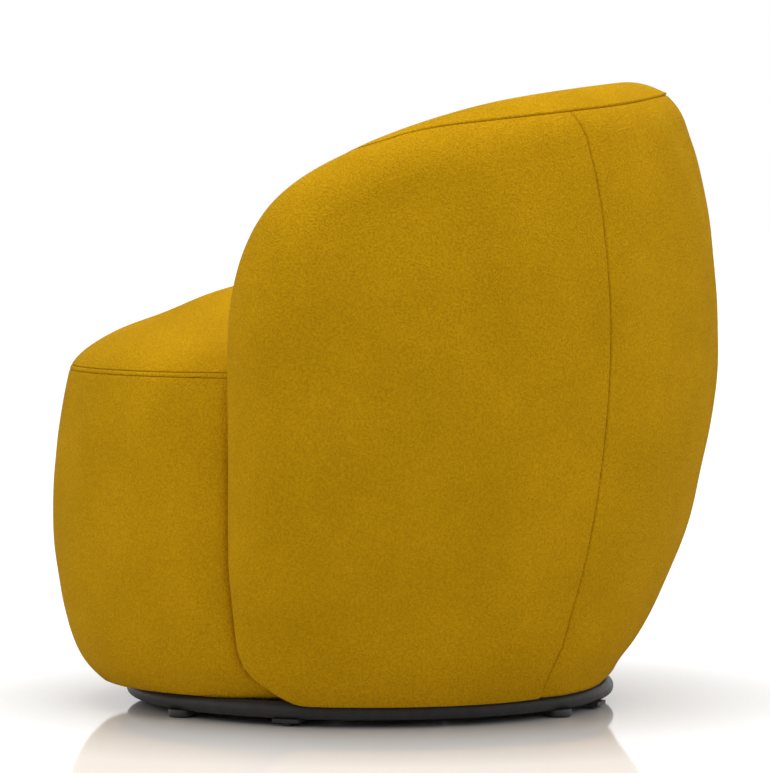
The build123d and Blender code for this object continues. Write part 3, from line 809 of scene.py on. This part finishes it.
pitch = 6.5
arm_rows = 72
edge_rows = 40
fine_share = 0.6
corner_lengths = (0, path_length[heel_index], path_length[bend_index], path_length[seam_index])
bottom_run = graded(corner_lengths[1], pitch, fine_start=True)
top_run = corner_lengths[2] + graded(corner_lengths[3] - corner_lengths[2], pitch, fine_end=True,
                                     count=len(bottom_run))
arm_run = np.linspace(corner_lengths[1], corner_lengths[2], arm_rows)
side_run = np.concatenate([bottom_run, arm_run[1:], top_run[1:]])
side_ends = seam_angles(side_run)
fine_turns = np.degrees(seam_steps / core_inset)


def edge_turns(starts, ends, fine_start=False):
    """Angles of the rows between two lines on the rolled edge, closer together at the seam."""
    table = []
    for start, end in zip(starts, ends):
        span = end - start
        fine = fine_turns * min(1, fine_share * span / fine_turns[-1])
        even = np.linspace(0, span - fine[-1], edge_rows - len(fine) + 1)[:-1]
        rows = np.concatenate([even, span - fine[::-1]])
        table.append(end - rows[::-1] if fine_start else start + rows)
    return np.array(table)


side_edge = edge_points(side_run, edge_turns(np.zeros(len(side_run)), side_ends))
inner_line = side_edge[:, 0]
source_depth, side_depth = 30.0, 40
turn_one, turn_two = len(bottom_run) - 1, len(bottom_run) + len(arm_run) - 2
seam_low, seam_high = inner_line[0], inner_line[-1]
levels = seam_low[2] + (seam_high[2] - seam_low[2]) * np.linspace(0, 1, len(arm_run))
seam_out = plan_ways(np.radians(back_seam_turn(levels)))
seam_sources = (barrel_radius(levels) - source_depth)[:, None] * seam_out + np.outer(levels, upward)
seam_column = meet_shell(seam_sources, seam_out)
seam_column[0], seam_column[-1] = seam_low, seam_high
flat = coons(inner_line[:turn_one + 1][::-1, 1:], inner_line[turn_two:, 1:],
             inner_line[turn_one:turn_two + 1, 1:], seam_column[:, 1:])
flat_y, flat_z = flat[..., 0], flat[..., 1]
flat_x = np.sqrt(np.maximum(barrel_radius(flat_z) ** 2 - flat_y**2, 0)) - side_depth
side_ways = np.broadcast_to((1.0, 0, 0), (*flat.shape[:2], 3))
side_core = meet_shell(np.stack([flat_x, flat_y, flat_z], -1), side_ways)
side_core[-1] = seam_column
side_core[0] = inner_line[turn_one:turn_two + 1]
side_core[:, 0] = inner_line[:turn_one + 1][::-1]
side_core[:, -1] = inner_line[turn_two:]

side_points, side_faces = sewn((side_core, False), (side_edge, False))
sewn_from = np.searchsorted(side_run, corner_lengths[1])
side_seam = np.vstack([side_edge[sewn_from:, -1], seam_column, side_edge[0], side_edge[-1]])

seam_depth, seam_width = 2.0, 1.1
seam_end_z, seam_full_z = 22.0, 46.0
crown_height, crown_reach, crown_base = 2.0, 45.0, 1.0
calm_margin = 40.0
arm_calm = 70.0


def seam_dip(points, line):
    """How far a cover is drawn in beside a seam, in mm. It fades where the seam runs out at the hem."""
    dip = -seam_depth * np.exp(-((distance_to(points, line) / seam_width) ** 1.6))
    return dip * smooth(seam_end_z, seam_full_z, points[:, 2])


def crowned(points, line, height):
    """How far a padded cover swells between its seams, in mm."""
    return height * (1 - np.exp(-distance_to(points, line) / crown_reach))


side_outward = shell_normal(side_points)
side_calm = smooth(0, calm_margin, distance_to(side_points, side_seam))
side_calm *= smooth(0, arm_calm, -outline_gap(side_points[:, 1], side_points[:, 2]))
side_relief = seam_dip(side_points, side_seam)
side_relief += crowned(side_points, side_seam, crown_height) - crown_base
for name, side, seed in (("outer_side_cover_left", 1, 11), ("outer_side_cover_right", -1, 23)):
    swells = soft_waves(side_points, seed, height=0.4, shortest=110, longest=230)
    relief = side_relief + swells * side_calm
    shaped, solid = closed_pad(side_points, side_faces, side_outward, relief)
    if side < 0:
        shaped = shaped * across_x
        solid = [face[::-1] for face in solid]
    sew_cover(name, name.replace("cover", "panel"), shaped, solid, 0.9)

# Outer back cover.
# One padded piece of the same fabric between the two upright back seams, from the hem to the top seam.
hem_rows, back_rows = 14, 96
flush_start_x, flush_full_x = 200, 60
flush_reach, flush_rise, flush_share = 8, 0.8, 0.6
ease_depth, ease_below, ease_reach = 2.2, 48, 26
waist_depth, waist_z, waist_reach = 3.2, 262, 68
hem_draw, hem_draw_z, hem_draw_reach = 5.0, 47, 20
drawn_start_x, drawn_full_x = 250, 120


def bell(x, middle, reach):
    """Bell curve that is 1 at its middle."""
    return np.exp(-(((x - middle) / reach) ** 2))


half_width = math.radians(hem_seam_angle) * belly_radius
back_share = graded(2 * half_width, pitch, True, True) / half_width - 1
mirror = np.where(back_share < 0, -1, 1)[:, None, None] * np.array((1, 0, 0)) + np.array((0, 1, 1))
back_run = np.interp(-np.radians(np.abs(back_share) * rim_seam_angle), -plan_angle[seam_index - 2:],
                     path_length[seam_index - 2:])
back_run[[0, -1]] = corner_lengths[3]
back_edge = edge_points(back_run, edge_turns(np.zeros(len(back_run)), seam_angles(back_run))) * mirror
hem_turns = np.radians(np.linspace(hem_angle, 0, hem_rows))[None, :, None]
hem_plan = plan_ways(np.radians(np.abs(back_share) * hem_seam_angle))
hem_core = hem_plan * hem_radius + np.array((0, 0, hem_level))
hem_ways = np.cos(hem_turns) * hem_plan[:, None] + np.sin(hem_turns) * np.array((0, 0, -1.0))
back_hem = meet_shell(hem_core[:, None], hem_ways) * mirror
back_levels = hem_level + (back_edge[:, :1, 2] - hem_level) * np.linspace(0, 1, back_rows)
back_ways = plan_ways(np.radians(np.abs(back_share)[:, None] * back_seam_turn(back_levels)))
back_sources = (barrel_radius(back_levels) - source_depth)[..., None] * back_ways
back_sources = back_sources + back_levels[..., None] * upward
back_wall = meet_shell(back_sources, back_ways) * mirror
back_wall[:, 0] = back_hem[:, -1]
back_wall[:, -1] = back_edge[:, 0]
back_points, back_faces = sewn(*[(grid, True) for grid in (back_hem, back_wall, back_edge)])
back_sides = [grid[end] for grid in (back_hem, back_wall, back_edge) for end in (0, -1)]
back_seams = np.vstack([back_edge[:, -1], *back_sides])
back_outward = shell_normal(back_points)
below_top = distance_to(back_points, back_edge[:, -1])
off_middle = np.abs(back_points[:, 0])
height = back_points[:, 2]
# Sewn flush with the roll along the middle of the top seam, and eased below it
back_middle = smooth(flush_start_x, flush_full_x, off_middle)
sewn_flush = back_middle * bell(below_top, 0, flush_reach)
relief = seam_dip(back_points, back_seams) * (1 - flush_share * sewn_flush) + flush_rise * sewn_flush
relief += crowned(back_points, back_seams, crown_height) - crown_base
back_calm = smooth(0, calm_margin, distance_to(back_points, back_seams))
relief += soft_waves(back_points, seed=37, height=0.5, shortest=70, longest=160) * back_calm
relief -= ease_depth * back_middle * bell(below_top, ease_below, ease_reach)
# Drawn in below the belly and again above the hem
drawn_in = waist_depth * bell(height, waist_z, waist_reach)
drawn_in += hem_draw * bell(height, hem_draw_z, hem_draw_reach)
relief -= drawn_in * smooth(drawn_start_x, drawn_full_x, off_middle)
back_pad = closed_pad(back_points, back_faces, back_outward, relief)
sew_cover("outer_back_cover", "outer_back_panel", *back_pad, 0.9)

# Inside cover and top roll.
# Foam of the back and arms under one inside cover. Its edge laps over the outer covers along the top
# seam as a low folded welt, and its foot is tucked down behind the seat.
tuck_z = 345.0
roll_stations, front_stations = 150, 34
wall_start, wall_reach = 200.0, 130.0
tuck_index = int(np.argmax((path_core[:, 2] > tuck_z) & (np.arange(len(path)) > heel_index)))
start_length = path_length[tuck_index]
dense = np.linspace(start_length, path_length[-1], 900)
dense_ends = seam_angles(dense)
cross_length = dense[np.argmax(dense_ends < 179.5)]
roll_run = np.linspace(cross_length, path_length[-1], roll_stations)
front_run = np.linspace(start_length, cross_length, front_stations)
roll_ends = seam_angles(roll_run)
roll_ends[0] = 180
roll_edge = edge_points(roll_run, edge_turns(roll_ends, np.full(len(roll_run), 180.0), fine_start=True))
inside_run = np.concatenate([front_run, roll_run[1:]])
inside_line = edge_points(inside_run, np.full((len(inside_run), 1), 180.0))[:, 0]
roll_edge[:, -1] = inside_line[front_stations - 1:]
roll_edge[0] = inside_line[front_stations - 1]


def well_place(points):
    """Angle round the seat well, as a length, and height."""
    return np.column_stack([np.arctan2(points[:, 0], points[:, 1] - well_y) * well_radius, points[:, 2]])


inside_place = well_place(inside_line)
front_place, roll_place = inside_place[:front_stations], inside_place[front_stations - 1:]
foot_place = np.column_stack([np.linspace(front_place[0, 0], 0, roll_stations),
                              np.full(roll_stations, front_place[0, 1])])
middle_place = np.column_stack([np.zeros(front_stations),
                                np.linspace(front_place[0, 1], roll_place[-1, 1], front_stations)])
wall_place = coons(foot_place, roll_place, front_place, middle_place)
wall_turn = wall_place[..., 0] / well_radius
wall_way = plan_ways(wall_turn)
wall_source = np.stack([np.zeros_like(wall_turn), np.full_like(wall_turn, well_y), wall_place[..., 1]], -1)
inside_wall = meet_shell(wall_source + wall_start * wall_way, wall_way, wall_reach)
inside_wall[0] = inside_line[:front_stations]
inside_wall[:, -1] = inside_line[front_stations - 1:]
pad_points, pad_faces = sewn((inside_wall, True), (inside_wall * across_x, False), (roll_edge, False),
                             (roll_edge * across_x, True))
top_seam = np.vstack([roll_edge[:, 0], roll_edge[:, 0] * across_x, inside_line[:front_stations],
                      inside_line[:front_stations] * across_x])
pad_outward = shell_normal(pad_points)
away = distance_to(pad_points, top_seam)
welt_away = (0, 0.6, 1.3, 2.4, 3.8, 5.5, 8, 11)
welt_rise = (-1.5, -0.2, 0.4, 0.6, 0.5, 0.3, 0.1, 0)
welt_start_y, welt_full_y = 0, 70
inside_crown, inside_base = 1.6, 0.6
wave_start, wave_full = 50, 120
relief = np.interp(away, welt_away, welt_rise) * smooth(welt_start_y, welt_full_y, pad_points[:, 1])
relief += crowned(pad_points, top_seam, inside_crown) - inside_base
swells = soft_waves(pad_points, seed=53, height=0.3, shortest=100, longest=220)
relief += swells * smooth(wave_start, wave_full, away)
# A fuller roll beside the seam at the middle of the back
full_start_x, full_end_x = 160, 50
full_start_y, full_end_y = 100, 250
roll_reach, welt_reach, welt_extra = 20, 2.5, 1.6
middle_back = smooth(full_start_x, full_end_x, np.abs(pad_points[:, 0]))
middle_back = middle_back * smooth(full_start_y, full_end_y, pad_points[:, 1])
relief += middle_back * (bell(away, 0, roll_reach) + welt_extra * bell(away, 0, welt_reach))
inside_pad = closed_pad(pad_points, pad_faces, pad_outward, relief)
sew_cover("inside_back_cover", "inside_back_pad", *inside_pad, 0.85)

# Seat cushion.
# A crowned foam seat in the same fabric, round in front and fitted between the arms behind. A double row
# of topstitching runs along its front edge above the band.
seat_radius = 281.0
seat_edge_z = 384.0
seat_centre = np.array((0, seat_y, 0))
seat_bottom_z = 334.0
side_slack, back_slack = 0.17, 0.03
fold_width, fold_drop = 16.0, 15.0
# Angles from the front over which the sides are tucked in, slackened and calmed, and the back is slackened
tuck_turns, slack_turns, calm_turns, back_turns = (75, 92), (75, 96), (45, 130), (96, 180)
open_turn, calm_turn = 100, 20
probe_z, probe_near, probe_far = 400.0, 180, 330
rim_power = 5
stitch_gap = 5.0
groove_depth, groove_width = 1.3, 0.8
rim_depth, rim_width = 0.45, 1.2
settled, settle_start, settle_full = 1.6, 4, 60
swell_start, swell_full = 8, 50
skirt_steps, skirt_slope = ((1.0, 0.25), (4, 0.35), (12, 0.4)), 4
bottom_radii = (215, 120, 40)
seat_profile = clamped_spline(((0, 489), (70, 483), (131, 466), (177, 446.5), (235, 425), (269, 401),
                               (seat_radius, seat_edge_z)), (1, 0), (0.4, -1), 40)
spokes = np.radians(np.linspace(0, 360, 301)[:-1])
spoke_way = np.column_stack([np.sin(spokes), -np.cos(spokes), np.zeros(len(spokes))])
front_turn = np.minimum(spokes, 2 * math.pi - spokes)
from_front = np.degrees(front_turn)
clear = 0.7
# How far level rays from the seat's middle run before they come close to the shell
probe = np.linspace(probe_near, probe_far, 500)
rays = seat_centre + probe[:, None, None] * spoke_way
rays[..., 2] = probe_z
blocked = shell_gap(rays) < clear
seat_reach = np.where(blocked.any(0), probe[np.argmax(blocked, 0)], probe_far)
seat_reach = np.minimum(seat_reach, np.where(from_front < open_turn, seat_radius, probe_far))
calm_spread = bell(front_turn, 0, math.radians(calm_turn))
calm_reach = np.fft.ifft(np.fft.fft(seat_reach) * np.fft.fft(calm_spread / calm_spread.sum())).real
loose_back = back_slack * smooth(*back_turns, from_front)
fullness = 1 - side_slack * smooth(*slack_turns, from_front) - loose_back
calm_fullness = 1 - side_slack * smooth(*calm_turns, from_front) - loose_back
tucked = smooth(*tuck_turns, from_front)
edge_steps_in = (0, 0.5, 1, 1.6, 2.4, 3.2, 3.8, 4.3, 4.7, 5.1, 5.5, 5.9, 6.4, 7, 8, 9.5, 12, 15, 19, 24)
ring_in = np.concatenate([edge_steps_in, np.linspace(24, 276, 44)[1:]])[::-1]
profile_length = lengths_along(seat_profile)
ring_share = 1 - ring_in / profile_length[-1]
ring_radius = np.interp(ring_share * profile_length[-1], profile_length, seat_profile[:, 0]) / seat_radius
seat_rings = []
for share in ring_radius:
    at_rim = share**rim_power
    radius = share * (calm_reach + (seat_reach - calm_reach) * at_rim)
    full = calm_fullness + (fullness - calm_fullness) * at_rim
    height = np.interp(share * full * seat_radius, seat_profile[:, 0], seat_profile[:, 1])
    fold = np.clip(1 - (seat_reach - radius) / fold_width, 0, 1)
    height = height - tucked * fold_drop * (1 - np.sqrt(1 - fold**2))
    ring = seat_centre + radius[:, None] * spoke_way + height[:, None] * upward
    seat_rings.append(ring)
seat_top = np.array(seat_rings)
groove = groove_depth * bell(ring_in, stitch_gap, groove_width) + rim_depth * bell(ring_in, 0, rim_width)
seat_ahead = (1 - tucked)[None, :] * groove[:, None]
seat_top[..., :2] -= seat_ahead[..., None] * spoke_way[None, :, :2]
cloth_frames = 20


def pushed_out(points, faces, outward, limit, near=9.0):
    """How far the foam pushes a cover out between its sewn edges, in mm, by cloth simulation."""
    mesh = bpy.data.meshes.new("cover_cloth")
    mesh.from_pydata((points * MM).tolist(), [], [list(map(int, face)) for face in faces])
    trial = placed("cover_cloth", mesh)
    sewn = trial.vertex_groups.new(name="sewn")
    rim = points[sorted({k for edge in outer_edges(faces) for k in edge})]
    sewn.add(np.nonzero(distance_to(points, rim) < near)[0].tolist(), 1.0, "REPLACE")
    cloth = trial.modifiers.new("cloth", "CLOTH")
    cloth.settings.quality = 5
    cloth.settings.mass = 0.3
    cloth.settings.vertex_group_mass = "sewn"
    cloth.settings.use_pressure = True
    cloth.settings.uniform_pressure_force = 4.0
    cloth.settings.effector_weights.gravity = 0.0
    cloth.collision_settings.use_collision = False
    cloth.collision_settings.use_self_collision = False
    cloth.point_cache.frame_start = 1
    cloth.point_cache.frame_end = cloth_frames
    for step in range(1, cloth_frames + 1):
        bpy.context.scene.frame_set(step)
    swollen = trial.evaluated_get(bpy.context.evaluated_depsgraph_get()).to_mesh()
    places = np.empty(3 * len(points))
    swollen.vertices.foreach_get("co", places)
    bpy.data.objects.remove(trial)
    bpy.context.scene.frame_set(1)
    moved = ((places.reshape(-1, 3) / MM - points) * outward).sum(1)
    return limit * np.tanh(np.maximum(moved, 0) / limit)


def nearest_points(points, ring):
    """Number of the point nearest to each of a ring."""
    return [int(np.argmin(np.linalg.norm(points - point, axis=1))) for point in ring]


# Coarse copy of the seat's top for the cloth, with a part of its rings and every fifth spoke
coarse_rows = np.concatenate([np.arange(0, 40, 2), np.arange(43, len(ring_in), 4)])
coarse_grid = seat_top[coarse_rows][:, ::5]
coarse_points, coarse_faces = sewn((np.concatenate([coarse_grid, coarse_grid[:, :1]], 1), False))
coarse_faces.append(nearest_points(coarse_points, coarse_grid[0]))
upright = np.broadcast_to((0.0, 0, 1), coarse_points.shape)
seat_push = pushed_out(coarse_points, coarse_faces, upright, limit=3.0)
nearest = point_tree(coarse_points)
for row in seat_top:
    for point in row:
        around = nearest.find_n(point, 4)
        weights = np.array([1 / (apart + 0.5) ** 2 for _, _, apart in around])
        point[2] += weights @ seat_push[[k for _, k, _ in around]] / weights.sum()
seat_top[..., 2] -= settled * smooth(settle_start, settle_full, ring_in)[:, None]
swells = soft_waves(seat_top.reshape(-1, 3), seed=71, height=0.5, shortest=70, longest=150)
seat_top[..., 2] += swells.reshape(seat_top.shape[:2]) * smooth(swell_start, swell_full, ring_in)[:, None]
seat_skirt = []
for inset, drop in skirt_steps:
    ring = seat_centre + (seat_reach - inset)[:, None] * spoke_way
    ring[:, 2] = seat_top[-1, :, 2] - drop - tucked * inset * skirt_slope
    seat_skirt.append(ring)
for radius in bottom_radii:
    seat_skirt.append(np.array((0, seat_y, seat_bottom_z)) + radius * spoke_way)
seat_grid = np.concatenate([seat_top, np.array(seat_skirt)])
seat_grid = np.concatenate([seat_grid, seat_grid[:, :1]], 1)
seat_points, seat_faces = sewn((seat_grid, False))
for ring in (seat_grid[0, :-1], seat_grid[-1, :-1]):
    spot = nearest_points(seat_points, ring)
    middle = ring.mean(0)
    seat_points = np.vstack([seat_points, middle])
    last = len(seat_points) - 1
    top_cap = middle[2] > seat_edge_z
    for k in range(len(spot)):
        a, b = spot[k], spot[(k + 1) % len(spot)]
        seat_faces.append([last, a, b] if top_cap else [last, b, a])
sew_cover("seat_cushion_cover", "seat_cushion", seat_points, seat_faces, 0.8)

# The thread is darker than the pile, partly its own tone and partly painted shade of the groove it lies in
thread_with_groove_shade, tree, shader = new_finish("mustard_thread_groove_shade", (0.34, 0.18, 0.0016), 0.7, Specular_IOR_Level=0.05)
twist = grain(tree, 1500, 2, (1, 1, 0.4))
feed(shader, Base_Color=ramp(tree, twist, (0.28, 0.148, 0.0012), (0.4, 0.212, 0.002)),
     Normal=bump(tree, twist, 0.5, 0.0003))
stitch_tree, given, made = repeat_tree("topstitches", ("Pitch", "Half length", "Radius"))
as_line = add_node(stitch_tree, "GeometryNodeMeshToCurve")
spaced = add_node(stitch_tree, "GeometryNodeCurveToPoints", mode="LENGTH")
bead = add_node(stitch_tree, "GeometryNodeMeshUVSphere", Segments=6, Rings=5, Radius=1.0)
bead_size = add_node(stitch_tree, "ShaderNodeCombineXYZ")
sized = add_node(stitch_tree, "GeometryNodeTransform")
rounded_bead = add_node(stitch_tree, "GeometryNodeSetShadeSmooth")
wire(stitch_tree, (given, "Places", as_line, "Mesh"), (as_line, "Curve", spaced, "Curve"),
     (given, "Pitch", spaced, "Length"), (given, "Radius", bead_size, "X"), (given, "Radius", bead_size, "Y"),
     (given, "Half length", bead_size, "Z"), (bead, "Mesh", sized, "Geometry"),
     (bead_size, "Vector", sized, "Scale"), (sized, "Geometry", rounded_bead, "Geometry"))
finish_tree(stitch_tree, given, made, (spaced, "Points"), (rounded_bead, "Geometry"), (spaced, "Rotation"))
stitch_sizes = {"Pitch": 0.0042, "Half length": 0.0018, "Radius": 0.0004, "Finish": thread_with_groove_shade}
stitch_row = int(np.argmin(np.abs(ring_in - stitch_gap)))
stitched_turn, stitch_lift = 82, 0.25
stitched = np.nonzero(from_front < stitched_turn)[0]
half_round = len(spokes) // 2
stitched = np.concatenate([stitched[stitched > half_round], stitched[stitched <= half_round]])
stitch_line = seat_top[stitch_row, stitched] + stitch_lift * spoke_way[stitched]
stitch_runs = [(k, k + 1) for k in range(len(stitched) - 1)]
seat_stitches = repeated("seat_stitches", stitch_tree, stitch_line, stitch_runs, None, stitch_sizes)
fit(seat_stitches, "chair")

# Front band.
# A soft padded band of the same fabric below the seat, sewn to it above and drawn under at the floor,
# its ends butted against the arm fronts and running in behind their rounded lower corners.
band_seam_z = 383.4
band_bulge_radius, band_bulge_z = 300, 230
band_corner_radius, band_corner_z = 284, 93
band_foot_radius, band_foot_z = 244, 27.8
band_tuck, band_tuck_width, band_tuck_power = 5.0, 5, 1.4
band_dip, band_dip_width, band_dip_power = 0.9, 1.5, 1.6
band_mean_radius = 280
upper_band = arc_radius(band_bulge_radius - seat_radius, band_bulge_z - band_seam_z)
lower_band = arc_radius(band_bulge_radius - band_corner_radius, band_bulge_z - band_corner_z)
corner_tilt = math.asin((band_bulge_z - band_corner_z) / lower_band)
band_levels = np.linspace(band_seam_z - seam_steps[-1], band_corner_z, 46)[1:]
band_z = np.concatenate([band_seam_z - seam_steps, band_levels])
band_arc = np.where(band_z > band_bulge_z, upper_band, lower_band)
band_r = band_bulge_radius - band_arc + np.sqrt(band_arc**2 - (band_z - band_bulge_z) ** 2)
# Arc that carries on from the bulge and turns under to the foot
band_corner = np.array((band_corner_radius, band_corner_z))
chord = np.array((band_foot_radius, band_foot_z), float) - band_corner
lead = np.array((-math.sin(corner_tilt), -math.cos(corner_tilt)))
sweep = math.acos(float(lead @ chord) / np.linalg.norm(chord))
turn_radius = np.linalg.norm(chord) / (2 * math.sin(sweep))
inward = np.array((lead[1], -lead[0]))
steps = np.linspace(0, 2 * sweep, 20)[1:, None]
turned_under = band_corner + turn_radius * inward
turned_under = turned_under + turn_radius * (-np.cos(steps) * inward + np.sin(steps) * lead)
under = np.array(((238, band_foot_z + 0.2), (231, band_foot_z + 0.6), (226, band_foot_z + 1)))
band_line = np.vstack([np.column_stack([band_r, band_z]), turned_under, under])
band_line[:len(seam_steps), 0] -= band_dip * np.exp(-((seam_steps / band_dip_width) ** band_dip_power))
# Each row of the band runs round until it comes close to the arm
search = np.radians(np.linspace(50, 97, 800))
band_end = []
for radius, z in band_line:
    ring = np.column_stack([radius * np.sin(search), seat_y - radius * np.cos(search),
                            np.full(len(search), z)])
    touch = shell_gap(ring) < clear
    band_end.append(search[np.argmax(touch)] if touch.any() else search[-1])
band_end = np.array(band_end)
band_share = np.linspace(-1, 1, 150)
band_turn = band_end[:, None] * band_share[None]
from_end = (1 - np.abs(band_share)) * band_end[:, None] * band_mean_radius
band_radius = band_line[:, :1] - band_tuck * np.exp(-((from_end / band_tuck_width) ** band_tuck_power))
band_grid = np.stack([band_radius * np.sin(band_turn), seat_y - band_radius * np.cos(band_turn),
                      np.broadcast_to(band_line[:, 1:], band_turn.shape)], -1)
band_points, band_faces = sewn((band_grid, False))
band_outward = unit((band_points - seat_centre) * (1, 1, 0))
band_edges = np.vstack([band_grid[0], band_grid[:, 0], band_grid[:, -1]])
band_calm = smooth(0, calm_margin, distance_to(band_points, band_edges))
relief = soft_waves(band_points, seed=89, height=0.6, shortest=60, longest=150) * band_calm
band_pad = closed_pad(band_points, band_faces, band_outward, relief)
sew_cover("seat_front_band_cover", "seat_front_band", *band_pad, 0.85)

# Dust cover.
# Thin black non-woven cloth under the board, round the swivel. Both edges are turned under and stapled,
# and the cloth hangs a little between them.
cambric, tree, shader = new_finish("black_cambric", (0.025, 0.025, 0.026), 0.9)
fibres = grain(tree, 900, 4, (1, 1, 0.2))
feed(shader, Base_Color=ramp(tree, fibres, grey(0.014), grey(0.045), 0.35, 0.65),
     Normal=bump(tree, fibres, 0.3, 0.0004))
board_z = 36.0
cloth_outer = 258.7
cloth_inner = 140.0
hem_width = 12.0
cloth_gauge = 0.25
sag = 1.1
fold_round = 0.6
cloth_gap, staple_drop = 0.2, 1.4
hem_levels = (board_z - 1.15, board_z - 0.85, board_z - 0.5)
span = np.linspace(cloth_inner + fold_round, cloth_outer - fold_round, 26)
top_z = board_z - cloth_gap - sag * np.sin(math.pi * (span - cloth_inner) / (cloth_outer - cloth_inner)) ** 2
inner_hem = np.column_stack([(cloth_inner + hem_width, cloth_inner + fold_round, cloth_inner), hem_levels])
outer_hem = np.column_stack([(cloth_outer - hem_width, cloth_outer - fold_round, cloth_outer), hem_levels])
cloth_line = np.vstack([inner_hem, np.column_stack([span, top_z]), outer_hem[::-1]])
cloth_slope = np.gradient(cloth_line, axis=0)
cloth_side = unit(np.column_stack([-cloth_slope[:, 1], cloth_slope[:, 0]])) * cloth_gauge / 2
cloth_loop = np.vstack([cloth_line + cloth_side, (cloth_line - cloth_side)[::-1]])
cloth_turns = np.radians(np.linspace(0, 360, 145))
cloth_grid = np.stack([cloth_loop[None, :, 0] * np.sin(cloth_turns)[:, None],
                       cloth_loop[None, :, 0] * np.cos(cloth_turns)[:, None],
                       np.broadcast_to(cloth_loop[:, 1], (len(cloth_turns), len(cloth_loop)))], -1)
cloth_grid = np.concatenate([cloth_grid, cloth_grid[:, :1]], 1)
dust_sheet = make_piece("dust_cover_cloth", *sewn((cloth_grid, False)), cambric)
fit(dust_sheet, "chair", "dust_cover")
spots, spins = [], []
for radius, count in ((cloth_outer - hem_width / 2, 30), (cloth_inner + hem_width / 2, 16)):
    for turn in np.linspace(0, 2 * math.pi, count, endpoint=False):
        spots.append((radius * math.sin(turn), radius * math.cos(turn), board_z - staple_drop))
        spins.append((math.pi, 0, -turn))
cloth_staples = repeated("dust_cover_staples", staple_tree, spots, [], spins, staple_sizes)
fit(cloth_staples, "chair")

# Studio.
# White floor with a light gloss under a white surround, two large soft boxes overhead, one before the chair
# and one behind it, and a camera at the photograph's place, square to the side of the chair.
floor_mesh = bpy.data.meshes.new("floor")
floor_corners = [(-40, -40, 0), (40, -40, 0), (40, 40, 0), (-40, 40, 0)]
floor_mesh.from_pydata(floor_corners, [], [(0, 1, 2, 3)])
floor = placed("floor", floor_mesh)
floor.location.z = -0.0002
paper, tree, shader = new_finish("white_floor", grey(0.86), 0.06, IOR=1.36, Emission_Color=(1, 1, 1, 1))
# Seen by the camera, the open floor is lifted towards white, and less so close to the chair, which paints a
# darker contact shade round and under it
light_path = add_node(tree, "ShaderNodeLightPath")
open_sky = add_node(tree, "ShaderNodeAmbientOcclusion", Distance=0.3, samples=8)
deeper = math_node(tree, "POWER", 3.0)
weaker = math_node(tree, "MULTIPLY", 0.3)
lift_with_contact_shade = math_node(tree, "MULTIPLY")
wire(tree, (open_sky, "AO", deeper, 0), (deeper, "Value", weaker, 0), (light_path, "Is Camera Ray", lift_with_contact_shade, 0),
     (weaker, "Value", lift_with_contact_shade, 1), (lift_with_contact_shade, "Value", shader, "Emission Strength"))
floor_mesh.materials.append(paper)

world = bpy.data.worlds.new("studio")
bpy.context.scene.world = world
world.use_nodes = True
tree = world.node_tree
sky = tree.nodes["Background"]
sky.inputs["Color"].default_value = (1, 1, 1, 1)
light_path = add_node(tree, "ShaderNodeLightPath")
seen = math_node(tree, "MAXIMUM")
seen_too = math_node(tree, "MAXIMUM")
level = add_node(tree, "ShaderNodeMapRange", To_Min=0.45, To_Max=1.0)
wire(tree, (light_path, "Is Camera Ray", seen, 0), (light_path, "Is Glossy Ray", seen, 1),
     (seen, "Value", seen_too, 0), (light_path, "Is Transmission Ray", seen_too, 1),
     (seen_too, "Value", level, "Value"), (level, "Result", sky, "Strength"))


def aimed(thing, place, target):
    """Put a lamp or the camera at a place, facing a target."""
    thing.location = place
    thing.rotation_euler = (Vector(target) - Vector(place)).to_track_quat("-Z", "Y").to_euler()


for name, place, size, power in (("low_overhead", (0.4, 0.0, 2.1), (2.0, 2.4), 22),
                                 ("high_overhead", (0.3, 0.0, 3.2), (3.0, 3.0), 25),
                                 ("front_box", (0.8, -3.4, 1.8), (2.5, 2.0), 21),
                                 ("back_box", (0.8, 3.4, 1.5), (2.5, 2.0), 19)):
    lamp = bpy.data.lights.new(name, "AREA")
    lamp.shape = "RECTANGLE"
    lamp.size, lamp.size_y = size
    lamp.energy = power
    aimed(placed(name, lamp), place, (0, 0, 0.4))

# The photograph is 773 pixels high, and its focal length comes to about 4500 of them
sensor_width, focal_pixels, photo_pixels = 36, 4500, 773
camera_data = bpy.data.cameras.new("camera")
camera_data.sensor_width = sensor_width
camera_data.lens = sensor_width * focal_pixels / photo_pixels
camera_data.clip_end = 100
camera = placed("camera", camera_data)
aimed(camera, (5.19, 0, 0.607), (0, 0.0173, 0.362))
bpy.context.scene.camera = camera
bpy.context.scene.view_settings.view_transform = "Standard"
